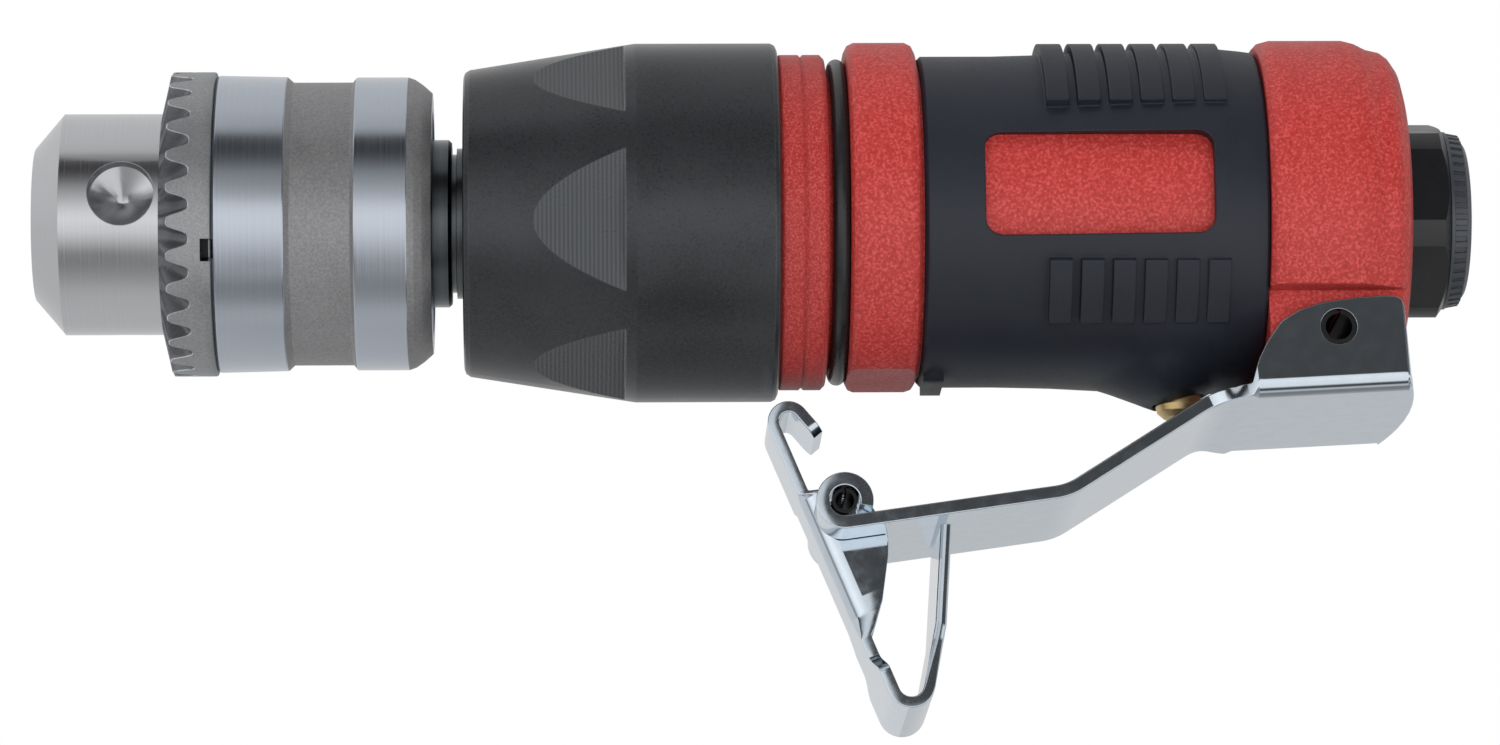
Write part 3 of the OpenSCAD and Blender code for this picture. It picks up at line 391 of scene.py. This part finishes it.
def even(line, step):
    """Points at even steps along a line, with its ends."""
    out = [line[0]]
    left = step
    for a, b in zip(line, line[1:]):
        gone = 0.0
        while (b - a).length - gone > left:
            gone += left
            left = step
            out.append(a + (b - a).normalized() * gone)
        left -= (b - a).length - gone
    return out + [line[-1]]


def smooth(t):
    """Soft step from 0 to 1."""
    t = max(0.0, min(1.0, t))
    return t * t * (3 - 2 * t)


def height_at(outline, x, beyond=0.0):
    """Height of an outline of (x, height), rising in x, at one place, or another height beyond its ends."""
    for a, b in zip(outline, outline[1:]):
        if a[0] <= x <= b[0]:
            return a[1] + (b[1] - a[1]) * (x - a[0]) / max(b[0] - a[0], 1e-6)
    return beyond


def new_object(name, bm):
    """Object from a bmesh, in the scene."""
    mesh = bpy.data.meshes.new(name)
    bm.to_mesh(mesh)
    bm.free()
    obj = bpy.data.objects.new(name, mesh)
    bpy.context.scene.collection.objects.link(obj)
    return obj


def settle(obj):
    """Turns the modifiers of an object into its mesh."""
    bpy.context.view_layer.update()
    shaped = obj.evaluated_get(bpy.context.evaluated_depsgraph_get())
    mesh = bpy.data.meshes.new_from_object(shaped)
    obj.modifiers.clear()
    obj.data = mesh


def sharpen(obj, angle=35):
    """Smooth shading that stops at edges steeper than an angle and leaves flats flat."""
    bm = bmesh.new()
    bm.from_mesh(obj.data)
    for face in bm.faces:
        face.smooth = True
    for edge in bm.edges:
        edge.smooth = len(edge.link_faces) == 2 and edge.calc_face_angle(0.0) < math.radians(angle)
    bm.to_mesh(obj.data)
    bm.free()
    flat = obj.modifiers.new("true_flats", "WEIGHTED_NORMAL")
    flat.keep_sharp = True
    return obj


def coat(obj, *materials):
    """Gives an object its finishes in order of their slots."""
    if obj.data.materials:
        obj.data.materials.clear()
    for mat in materials:
        obj.data.materials.append(mat)


def stand_for(obj, node, body):
    """The piece takes a CAD node's place on its body."""
    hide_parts(node)
    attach(obj, body)
    return obj


def ring_mesh(name, rows, sort=None):
    """Closed ring about the tool axis from one outline of (x, radius) for each step of its turn.

    sort gives the slot of a face from its middle x and radius.
    """
    bm = bmesh.new()
    grid = []
    for k, row in enumerate(rows):
        a = 2 * math.pi * k / len(rows)
        grid.append([bm.verts.new((x * MM, -r * MM * math.cos(a), r * MM * math.sin(a))) for x, r in row])
    for k, here in enumerate(grid):
        there = grid[(k + 1) % len(grid)]
        for i in range(len(here)):
            j = (i + 1) % len(here)
            face = bm.faces.new((here[i], here[j], there[j], there[i]))
            if sort:
                x, radius = ((rows[k][i][n] + rows[k][j][n]) / 2 for n in (0, 1))
                face.material_index = sort(x, radius)
    bmesh.ops.recalc_face_normals(bm, faces=bm.faces)
    return new_object(name, bm)


def corner(mid, radius, first, last, steps):
    """Points of an arc between two angles in degrees."""
    return [mid + radius * along(first + (last - first) * i / steps) for i in range(steps + 1)]


def pressed_sheet(name, line, form, thick, holes):
    """Bent sheet with rounded edges round a line of (x, z) in its middle plane.

    form(length, point, up) gives half the width, the rise and bend radius of the turned-up sides, half
    the width of a gap in the middle and the rounding of the edges; holes are cross holes as (point,
    radius).
    """
    low, high = -thick / 2, thick / 2
    bm = bmesh.new()
    grids = {-1: [], 1: []}
    gaps = []
    length = 0.0
    for i, p in enumerate(line):
        run = (line[min(i + 1, len(line) - 1)] - line[max(i - 1, 0)]).normalized()
        up = Vector((-run.y, run.x))
        length += (p - line[max(i - 1, 0)]).length
        half, rise, bend, gap, edge = form(length, p, up)
        top = max(high, rise)
        out = min(bend + high, edge + 0.9 * (top - high))
        inside = max(0.0, min(bend - high, top - edge - high))
        lip = edge if top > high + 0.01 else 0.0
        wall = half - thick
        row = [Vector((gap + f * (half - out - gap), low)) for f in (0, 0.25, 0.5, 0.75)]
        row += corner(Vector((half - out, low + out)), out, -90, 0, 12)
        row += corner(Vector((half - edge, top - edge)), edge, 0, 90, 3)
        row += corner(Vector((wall + lip, top - lip)), lip, 90, 180, 3)
        row += corner(Vector((wall - inside, high + inside)), inside, 0, -90, 12)
        row += [Vector((gap + f * (wall - inside - gap), high)) for f in (0.75, 0.5, 0.25, 0)]
        gaps.append(gap)
        for side, grid in grids.items():
            spots = [((p.x + up.x * h) * MM, side * y * MM, (p.y + up.y * h) * MM) for y, h in row]
            grid.append([bm.verts.new(spot) for spot in spots])
    for side, grid in grids.items():
        for k, (here, there) in enumerate(zip(grid, grid[1:])):
            walled = gaps[k] + gaps[k + 1] > 0
            for j in range(len(here) - (0 if walled else 1)):
                n = (j + 1) % len(here)
                face = (here[j], here[n], there[n], there[j])
                bm.faces.new(face if side > 0 else face[::-1])
        bm.faces.new(grid[0][::-1] if side > 0 else grid[0])
        bm.faces.new(grid[-1] if side > 0 else grid[-1][::-1])
    bmesh.ops.remove_doubles(bm, verts=bm.verts, dist=2e-6)
    bmesh.ops.dissolve_degenerate(bm, edges=bm.edges, dist=1e-6)
    bmesh.ops.recalc_face_normals(bm, faces=bm.faces)
    obj = new_object(name, bm)
    for point, radius in holes:
        drill(obj, point, radius)
    return sharpen(obj, 12)


def drill(obj, point, radius):
    """Cuts a round hole across the whole width."""
    place = Matrix.Translation((point.x * MM, 0, point.y * MM)) @ Matrix.Rotation(math.pi / 2, 4, "X")
    size = {"radius1": radius * MM, "radius2": radius * MM, "depth": 60 * MM}
    bm = bmesh.new()
    bmesh.ops.create_cone(bm, cap_ends=True, segments=64, matrix=place, **size)
    tool = new_object("hole", bm)
    cut = obj.modifiers.new("hole", "BOOLEAN")
    cut.object = tool
    cut.operation = "DIFFERENCE"
    cut.solver = "EXACT"
    settle(obj)
    bpy.data.objects.remove(tool)


# Pieces


class DRILL_OT_chuck(bpy.types.Operator):
    """Chuck: turned nose and sleeve, blasted key ring with cut teeth, jaws"""

    bl_idname = "drill.chuck"
    bl_label = "Chuck"

    def execute(self, context):
        pitch = sizes().turning_pitch
        steel = turned_steel("turned_nose_steel", colours().nose_steel, pitch=pitch)
        band = turned_steel("turned_sleeve_steel", colours().sleeve_steel, pitch=pitch)
        dull = blasted_steel("blasted_chuck_steel", colours().ring_steel)
        jaw = turned_steel("hardened_jaw_steel", linear("#8d8f92"), 0.3, pitch)
        coat(NODES["chuck_body"], steel)
        for node in ("chuck_jaw_1", "chuck_jaw_2", "chuck_jaw_3", "chuck_nut"):
            coat(NODES[node], jaw)
        self.sleeve(band, blasted_steel("dull_groove_steel", linear("#a8a8aa"), 0.56))
        self.key_ring(dull)
        return {"FINISHED"}

    def sleeve(self, steel, dull):
        """Two bright bands with a dull groove between them and a dull chamfer behind."""
        x0, x1 = span("chuck_sleeve", 0)
        r = span("chuck_sleeve", 2)[1]
        bore, seat, lip = 13.17, 12.75, 11.55
        front, back, rear = x0 + 7.3, x1 - 7.7, x1 - 2.4
        step, stop = x0 + 5.4, x1 - 2
        outline = [(x0, bore), (x0, r - 0.3), (x0 + 0.3, r), (front - 0.3, r - 0.15),
                   (front + 0.3, r - 0.7), (back - 0.2, r - 0.7), (back + 0.2, r - 0.2), (rear, r - 0.2),
                   (rear + 0.7, r - 0.45), (rear + 1.5, r - 1.0), (x1, r - 1.8), (x1, lip), (stop, lip),
                   (stop, seat), (step, seat), (step, bore)]
        row = rounded(outline + outline[:1], 0.16, 4)[1:]

        def is_dull(x, radius):
            in_groove = front - 0.2 < x < back + 0.1
            return int(radius > seat + 0.05 and (in_groove or x > rear + 0.2))

        piece = ring_mesh("chuck_sleeve_bands", [row] * 256, is_dull)
        coat(sharpen(piece), steel, dull)
        stand_for(piece, "chuck_sleeve", "sleeve")

    def key_ring(self, dull):
        """Teeth cut as gullets that deepen down the ring's bevel, and one small notch at the back."""
        teeth, depth = sizes().tooth_count, sizes().tooth_depth
        x0, x1 = span("chuck_key_ring", 0)
        outer = -span("chuck_key_ring", 1)[0]
        inner, foot, land, worn = 11.05, 11.25, 0.9, 0.1
        notch_wide, notch_deep, notch_x, notch_turn = 2.0, 0.9, x1 - 1.0, 1 - 23.5 / 360
        per = 20
        rows = []
        for k in range(teeth * per):
            cut = smooth(0.5 - 0.5 * math.cos(2 * math.pi * (k % per) / per))
            row = [(x0, inner), (x0, foot)]
            for f in (0.2, 0.4, 0.6, 0.8, 1.0):
                x = x0 + land * f + cut * depth * (0.3 + 0.7 * f)
                row.append((x, foot + (outer - worn - foot) * f))
            edge = x0 + land + cut * depth
            away = abs(k / (teeth * per) - notch_turn) * 2 * math.pi * outer
            low = outer - (notch_deep if away < notch_wide / 2 else 0.0)
            row += [(edge + worn, outer), ((edge + notch_x) / 2, outer), (notch_x, outer),
                    (notch_x + 0.02, low), (x1 - 0.22, low), (x1 - 0.06, low - 0.06), (x1, low - 0.22),
                    (x1, inner)]
            rows.append(row)
        piece = ring_mesh("chuck_ring_teeth", rows)
        # round the outline, faces 0 to 5 line the gullets and take a darker steel as painted shade, 6 is
        # the worn edge, whose lighter steel is partly wear and partly a painted highlight, and 8 to 10 hold
        # the notch
        for face in piece.data.polygons:
            column = face.index % len(rows[0])
            lowest = min(Vector(piece.data.vertices[v].co.yz).length for v in face.vertices)
            sunk = 8 <= column <= 10 and lowest < (outer - 0.3) * MM
            face.material_index = 3 if sunk else 1 if column < 6 else 2 if column == 6 else 0
        # painted shade: a darker steel in the gullets, where the teeth shade each other
        gullet_shade = blasted_steel("shaded_gullet_steel", linear("#808286"), 0.4)
        # the edge's lighter steel is partly wear and partly a painted highlight
        bright = turned_steel("worn_and_highlit_edge_steel", linear("#d2d3d4"), 0.25)
        pit = blasted_steel("shaded_notch_steel", linear("#2c2d2f"), 0.5)
        coat(sharpen(piece, 40), dull, gullet_shade, bright, pit)
        stand_for(piece, "chuck_key_ring", "sleeve")


class DRILL_OT_front(bpy.types.Operator):
    """Front: spindle collar and the blackened housing with its spanner flats"""

    bl_idname = "drill.front"
    bl_label = "Front housing"

    def execute(self, context):
        black = blackened_steel("black_oxide_steel", colours().housing_black, sizes().milling_pitch)
        coat(NODES["front_housing"], black)
        coat(NODES["spindle"], turned_steel("oiled_spindle_steel", linear("#5a5e61"), 0.24, 0.32, 0.4))
        return {"FINISHED"}


class DRILL_OT_motor_housing(bpy.types.Operator):
    """Motor housing: painted adaptor, flange and head, and the seal between them"""

    bl_idname = "drill.motor_housing"
    bl_label = "Motor housing"

    def execute(self, context):
        grain = sizes().paint_grain
        # the adaptor's red is set darker than the housing's
        darker_red = shade(colours().paint_red, 0.84)[:3]
        coat(NODES["front_adaptor"], wrinkle_paint("fine_wrinkle_paint_red", darker_red, 0.7 * grain))
        coat(NODES["motor_housing"], wrinkle_paint("wrinkle_paint_red", colours().paint_red, grain))
        seal = moulded_rubber("nitrile_seal", linear("#1d1e20"), 0.3, 0.4, 0.004, 0.05)
        coat(NODES["housing_seal"], seal)
        return {"FINISHED"}


class DRILL_OT_grip(bpy.types.Operator):
    """Grip: moulded rubber sleeve"""

    bl_idname = "drill.grip"
    bl_label = "Grip"

    def execute(self, context):
        rubber = moulded_rubber("slate_grip_rubber", colours().grip_slate, swell=2.6)
        coat(NODES["grip_sleeve"], rubber)
        return {"FINISHED"}


class DRILL_OT_lever(bpy.types.Operator):
    """Lever: chromed throttle lever, safety latch, their pins and the latch spring"""

    bl_idname = "drill.lever"
    bl_label = "Lever and latch"

    def execute(self, context):
        chrome = plated_chrome("plated_chrome", colours().chrome)
        coat(self.lever(), chrome)
        coat(self.latch(), chrome)
        pin = anodised_black("blackened_roll_pin", "#151617", 0.36)
        for node in ("lever_pin", "latch_pin"):
            coat(NODES[node], pin)
        coat(NODES["latch_spring"], turned_steel("spring_wire", linear("#9a9da0"), 0.25, 0.3))
        return {"FINISHED"}

    def lever(self):
        """Rolled eye, strip, slope and a floor whose sides are turned up round the pivot pin."""
        thick = sizes().lever_sheet
        pivot, eye = hinge_point("lever_press"), hinge_point("latch_fold")
        front, rear = span("throttle_lever", 0)
        half = span("throttle_lever", 1)[1]
        roll = eye.x - front - thick / 2
        strip, slope, floor = 8.0, 32.3, 2.8
        strip_long, slope_long, bend = 21.9, 17.2, 1.0
        slot_end, slot_half, pin_hole = eye.x + 4.3, 5.4, 1.8
        knee = eye - (roll + thick / 2) * across(strip) + strip_long * along(strip)
        heel = knee + slope_long * along(slope)
        back, tail, sharpness = rear - 0.6, 75.0, 24
        last = heel + (back - heel.x) / along(floor).x * along(floor)
        least, narrow, flare, flare_long = 2.0, 11.0, heel.x - 0.7, 4.5
        knee = knee + thick / 2 * across((strip + slope) / 2)
        heel = heel + thick / 2 * across((slope + floor) / 2)
        last = last + thick / 2 * across(floor)
        curl = [eye + roll * along(-14 + 292 * i / 40) for i in range(41)]
        line = even(curl + rounded([curl[-1], knee, heel, last], 6.0, 16), 0.2)
        top = rounded([(-9.2, -8.0), (-8.6, -5.6), (-7.9, -3.2), (-7.0, -1.4), (-5.6, 0.6), (-3.7, 1.75),
                       (-1.4, 2.5), (2.0, 2.95), (4.7, 3.1), (6.3, 3.0), (6.8, 0.6), (7.0, -9.0)], 1.6, 6)

        def form(length, p, up):
            wide = narrow + (half - narrow) * smooth((p.x - flare) / flare_long)
            if p.x > back - tail:
                arc = math.sqrt(max(least ** 2, tail ** 2 - (p.x - back + tail) ** 2))
                wide = (wide ** -sharpness + arc ** -sharpness) ** (-1 / sharpness)
            # the sides rise in halving steps until they meet the outline round the pivot
            rise, step = 0.0, 4.0 if p.x > knee.x else 0.0
            while step > 0.005:
                spot = p + (rise + step) * up - pivot
                if spot.y < height_at(top, spot.x, -99):
                    rise += step
                else:
                    step /= 2
            return wide, rise, bend, slot_half if p.x < slot_end else 0.0, sizes().sheet_edge

        piece = pressed_sheet("throttle_lever_sheet", line, form, thick, [(pivot, pin_hole)])
        return stand_for(piece, "throttle_lever", "lever")

    def latch(self):
        """Hook over the flange, leg with turned sides round the pin, and a wide finger loop."""
        thick = sizes().latch_sheet
        pin = hinge_point("latch_fold")
        leg, arm, lean, hook, bend = -68.2, -50.0, -2.9, 10.4, 1.5
        narrow, wider, splay_at, splay_long = 5.0, 4.0, 14.4, 2.2
        side_bend, pin_hole, tip_round, tip_long = 1.3, 1.3, 0.9, 1.2
        crest = (lean + bend) * across(leg) - hook * along(leg)
        arch = [crest + bend * along(arm + 90 + (leg - arm + 180) * i / 16) for i in range(17)]
        tip = arch[0] + 2.8 * along(arm)
        loop = rounded([arch[-1], (6.9, -23.95), (9.3, -11.8), (9.98, -2)], 2.25, 16)
        line = even([pin + p for p in [tip] + arch + loop], 0.2)
        sides = rounded([(-3.4, 0.0), (-2.6, 2.9), (-1.6, 4.9), (0, 5.6), (2.2, 6.0), (4.0, 6.0),
                         (5.8, 5.2), (7.5, 4.2), (9.7, 2.9), (11.8, 1.2), (12.9, 0.0)], 2.0, 6)
        arm_x = (pin + Vector((8.0, 0))).x

        def form(length, p, up):
            down = (p - pin).dot(along(leg))
            on_leg = (p - pin).dot(across(leg)) < lean + 0.6
            splay = smooth((down - splay_at) / splay_long) if on_leg else 1.0
            if length < 10:
                splay = 0.0
            wide = narrow + wider * splay
            if length < tip_long:
                wide -= tip_round * (1 - length / tip_long) ** 2
            if on_leg and length > 5:
                return wide, height_at(sides, down), side_bend, 0.0, sizes().sheet_edge
            soft = max(0.0, min(1.0, p.x - arm_x)) if length > 20 else 0.0
            edge = sizes().sheet_edge + (0.49 * thick - sizes().sheet_edge) * soft
            return wide, 0.0, side_bend, 0.0, edge

        piece = pressed_sheet("safety_latch_sheet", line, form, thick, [(pin, pin_hole)])
        return stand_for(piece, "safety_latch", "latch")


class DRILL_OT_valve(bpy.types.Operator):
    """Valve: brass plunger and bush, seals and spring"""

    bl_idname = "drill.valve"
    bl_label = "Throttle valve"

    def execute(self, context):
        brass = turned_steel("turned_brass", colours().brass, 0.38, 0.4)
        for node in ("throttle_plunger", "plunger_bush"):
            coat(NODES[node], brass)
        seal = moulded_rubber("valve_seal_rubber", linear("#202123"), 0.4, 0.4, 0.004, 0.05)
        for node in ("plunger_seal", "valve_washer"):
            coat(NODES[node], seal)
        coat(NODES["valve_spring"], turned_steel("valve_spring_wire", linear("#9a9da0"), 0.25, 0.3))
        return {"FINISHED"}


class DRILL_OT_inlet(bpy.types.Operator):
    """Inlet: hexagon bushing, ribbed ring, seal and screen"""

    bl_idname = "drill.inlet"
    bl_label = "Air inlet"

    def execute(self, context):
        coat(NODES["inlet_bushing"], anodised_black("anodised_inlet_black", "#0e1014", shine=1.0))
        coat(NODES["inlet_ring"], anodised_black("anodised_ring_grey", "#3b3f45", 0.4, 1.0))
        seal = moulded_rubber("inlet_seal_rubber", linear("#1d1e20"), 0.4, 0.4, 0.004, 0.05)
        coat(NODES["inlet_seal"], seal)
        coat(NODES["inlet_screen"], blasted_steel("screen_steel", linear("#a6a9ac"), 0.35, 0.3))
        return {"FINISHED"}


class DRILL_OT_works(bpy.types.Operator):
    """Works: gears, bearings and vane motor inside the housings"""

    bl_idname = "drill.works"
    bl_label = "Inner works"

    def execute(self, context):
        gear = turned_steel("hardened_gear_steel", linear("#85888b"), 0.32, 0.3)
        race = turned_steel("bearing_steel", linear("#b9bcc0"), 0.18, 0.2)
        iron = blasted_steel("motor_iron", linear("#77797c"), 0.5, 0.2)
        resin = moulded_rubber("vane_resin", linear("#6d5a3c"), 0.5, 0.3, 0.01)
        for node in ("planet_pins", "planet_gear_1", "planet_gear_2", "planet_gear_3", "ring_gear", "rotor",
                     "bearing_spacer", "cylinder_dowel"):
            coat(NODES[node], gear)
        for node in ("spindle_bearing_outers", "spindle_bearing_inners", "spindle_bearing_balls",
                     "rotor_bearing_outers", "rotor_bearing_inners", "rotor_bearing_balls"):
            coat(NODES[node], race)
        for node in ("front_end_plate", "motor_cylinder", "rear_end_plate"):
            coat(NODES[node], iron)
        coat(NODES["rotor_vanes"], resin)
        return {"FINISHED"}


# Stage


# soft boxes and dark gaps that the metal sees: angle round the tool's axis from the front, grey level
CHUCK_BOXES = ((-180, 0.7), (-140, 0.66), (-119, 0.68), (-98, 0.66), (-80, 0.56), (-64, 0.42), (-55, 0.29),
               (-44, 0.28), (-35, 0.55), (-21, 0.98), (-7, 1.15), (7, 0.9), (22, 0.52), (36, 0.16),
               (44, 0.04), (58, 0.04), (61, 0.45), (67, 0.72), (90, 0.72), (130, 0.74), (180, 0.7))
LEVER_BOXES = ((-180, 0.62), (-168, 0.57), (-150, 0.4), (-120, 0.24), (-100, 0.24), (-90, 0.6), (-82, 0.5),
               (-75, 0.08), (-63, 0.08), (-52, 0.9), (-12, 1.0), (2, 0.9), (7, 0.07), (20, 0.07), (26, 0.3),
               (34, 0.12), (46, 0.12), (76, 0.2), (86, 0.55), (120, 0.6), (180, 0.62))


class DRILL_OT_stage(bpy.types.Operator):
    """Stage: camera at the photograph's angle, a studio of soft boxes on white, pale floor"""

    bl_idname = "drill.stage"
    bl_label = "Stage"

    def execute(self, context):
        self.camera(context)
        self.sky(context)
        self.lamps(context)
        self.floor(context)
        context.scene.view_settings.view_transform = "Standard"
        return {"FINISHED"}

    def camera(self, context):
        """Camera fitted to the outlines in the photograph.

        Its place is in millimetres, its angles are in degrees and its lens is in pixels of the photograph.
        """
        place, yaw, pitch, roll = (51.7, -598.67, -149.27), 1.832, 12.606, -0.610
        lens, photo_width, sensor = 6176.56, 1500, 36.0
        aim = Matrix.Rotation(-math.radians(yaw), 3, "Z")
        aim = aim @ Matrix.Rotation(math.pi / 2 + math.radians(pitch), 3, "X")
        aim = aim @ Matrix.Rotation(math.radians(roll), 3, "Z")
        data = bpy.data.cameras.new("photo_camera")
        data.sensor_fit = "HORIZONTAL"
        data.sensor_width = sensor
        data.lens = lens * sensor / photo_width
        data.clip_start = 0.01
        obj = bpy.data.objects.new("photo_camera", data)
        obj.matrix_world = Matrix.Translation(Vector(place) * MM) @ aim.to_4x4()
        context.scene.collection.objects.link(obj)
        context.scene.camera = obj

    def sky(self, context):
        """White to the eye; metal sees soft boxes with dark gaps round the tool's axis.

        The chuck has one set and the lever another, told apart by how far a ray leans along the axis.
        """
        world = bpy.data.worlds.new("studio")
        context.scene.world = world
        world.use_nodes = True
        tree = world.node_tree
        tree.nodes.clear()
        way = add(tree, "ShaderNodeSeparateXYZ", {0: add(tree, "ShaderNodeTexCoord").outputs["Generated"]})
        turn = calc(tree, "ARCTAN2", way.outputs[2], calc(tree, "MULTIPLY", way.outputs[1], -1.0))
        place = spread(tree, turn, -math.pi, math.pi)
        chuck = self.boxes(tree, place, CHUCK_BOXES)
        lever = self.boxes(tree, place, LEVER_BOXES)
        studio = tinted(tree, spread(tree, way.outputs[0], 0.012, 0.018), chuck, lever)
        seen = add(tree, "ShaderNodeLightPath").outputs["Is Camera Ray"]
        metal = add(tree, "ShaderNodeBackground", {0: studio, 1: 1.0})
        white = add(tree, "ShaderNodeBackground", {0: (1, 1, 1, 1), 1: 1.0})
        shown = add(tree, "ShaderNodeMixShader", {0: seen, 1: metal, 2: white})
        add(tree, "ShaderNodeOutputWorld", {0: shown})

    def boxes(self, tree, place, levels):
        """Ramp of grey levels by angle, from -180 to 180 degrees."""
        ramp = add(tree, "ShaderNodeValToRGB", {0: place})
        dots = ramp.color_ramp.elements
        while len(dots) < len(levels):
            dots.new(0.5)
        for dot, (angle, level) in zip(dots, levels):
            dot.position = (angle + 180) / 360
            dot.color = (level, level, level, 1)
        return ramp

    def lamps(self, context):
        """Soft key from above and a fill from below, both in front; the metal sees only the studio."""
        for name, place, power in (("key", (-0.1, -0.45, 0.75), 3.0), ("fill", (0.2, -0.6, -0.15), 3.2)):
            data = bpy.data.lights.new(name, "AREA")
            data.size = 0.5
            data.energy = power
            obj = bpy.data.objects.new(name, data)
            obj.location = place
            aim = Vector((0.07, 0, 0)) - obj.location
            obj.rotation_euler = aim.to_track_quat("-Z", "Y").to_euler()
            obj.visible_glossy = False
            context.scene.collection.objects.link(obj)

    def floor(self, context):
        """Pale round floor well below the tool, clear from underneath; the metal does not see it."""
        bm = bmesh.new()
        bmesh.ops.create_circle(bm, cap_ends=True, segments=96, radius=1.5)
        obj = new_object("studio_floor", bm)
        obj.location = (0.07, 0, -0.22)
        obj.visible_glossy = False
        mat, tree, place = start("pale_studio_paper")
        fibre = noise(tree, place, 1.5)
        tint = tinted(tree, fibre, (*linear("#efefed"), 1), (*linear("#f8f8f6"), 1))
        matt = add(tree, "ShaderNodeBsdfDiffuse", {0: tint})
        clear = add(tree, "ShaderNodeBsdfTransparent")
        under = add(tree, "ShaderNodeNewGeometry").outputs["Backfacing"]
        paper = add(tree, "ShaderNodeMixShader", {0: under, 1: matt, 2: clear})
        add(tree, "ShaderNodeOutputMaterial", {0: paper})
        coat(obj, mat)


STEPS = (DRILL_OT_stage, DRILL_OT_chuck, DRILL_OT_front, DRILL_OT_motor_housing, DRILL_OT_grip,
         DRILL_OT_lever, DRILL_OT_valve, DRILL_OT_inlet, DRILL_OT_works)


class DRILL_PT_panel(bpy.types.Panel):
    """Sizes, colours and steps of the air drill"""

    bl_idname = "DRILL_PT_panel"
    bl_label = "Air Drill"
    bl_space_type = "VIEW_3D"
    bl_region_type = "UI"
    bl_category = "Air Drill"

    def draw(self, context):
        for group in (sizes(), colours()):
            for key in group.__annotations__:
                self.layout.prop(group, key)
        for step in STEPS:
            self.layout.operator(step.bl_idname)


CLASSES = (DrillSizes, DrillColours, *STEPS, DRILL_PT_panel)


def register():
    for item in CLASSES:
        bpy.utils.register_class(item)
    bpy.types.Scene.drill_sizes = bpy.props.PointerProperty(type=DrillSizes)
    bpy.types.Scene.drill_colours = bpy.props.PointerProperty(type=DrillColours)


def unregister():
    del bpy.types.Scene.drill_colours
    del bpy.types.Scene.drill_sizes
    for item in reversed(CLASSES):
        bpy.utils.unregister_class(item)


def main():
    register()
    for step in STEPS:
        group, name = step.bl_idname.split(".")
        getattr(getattr(bpy.ops, group), name)()


if __name__ == "__main__":
    main()
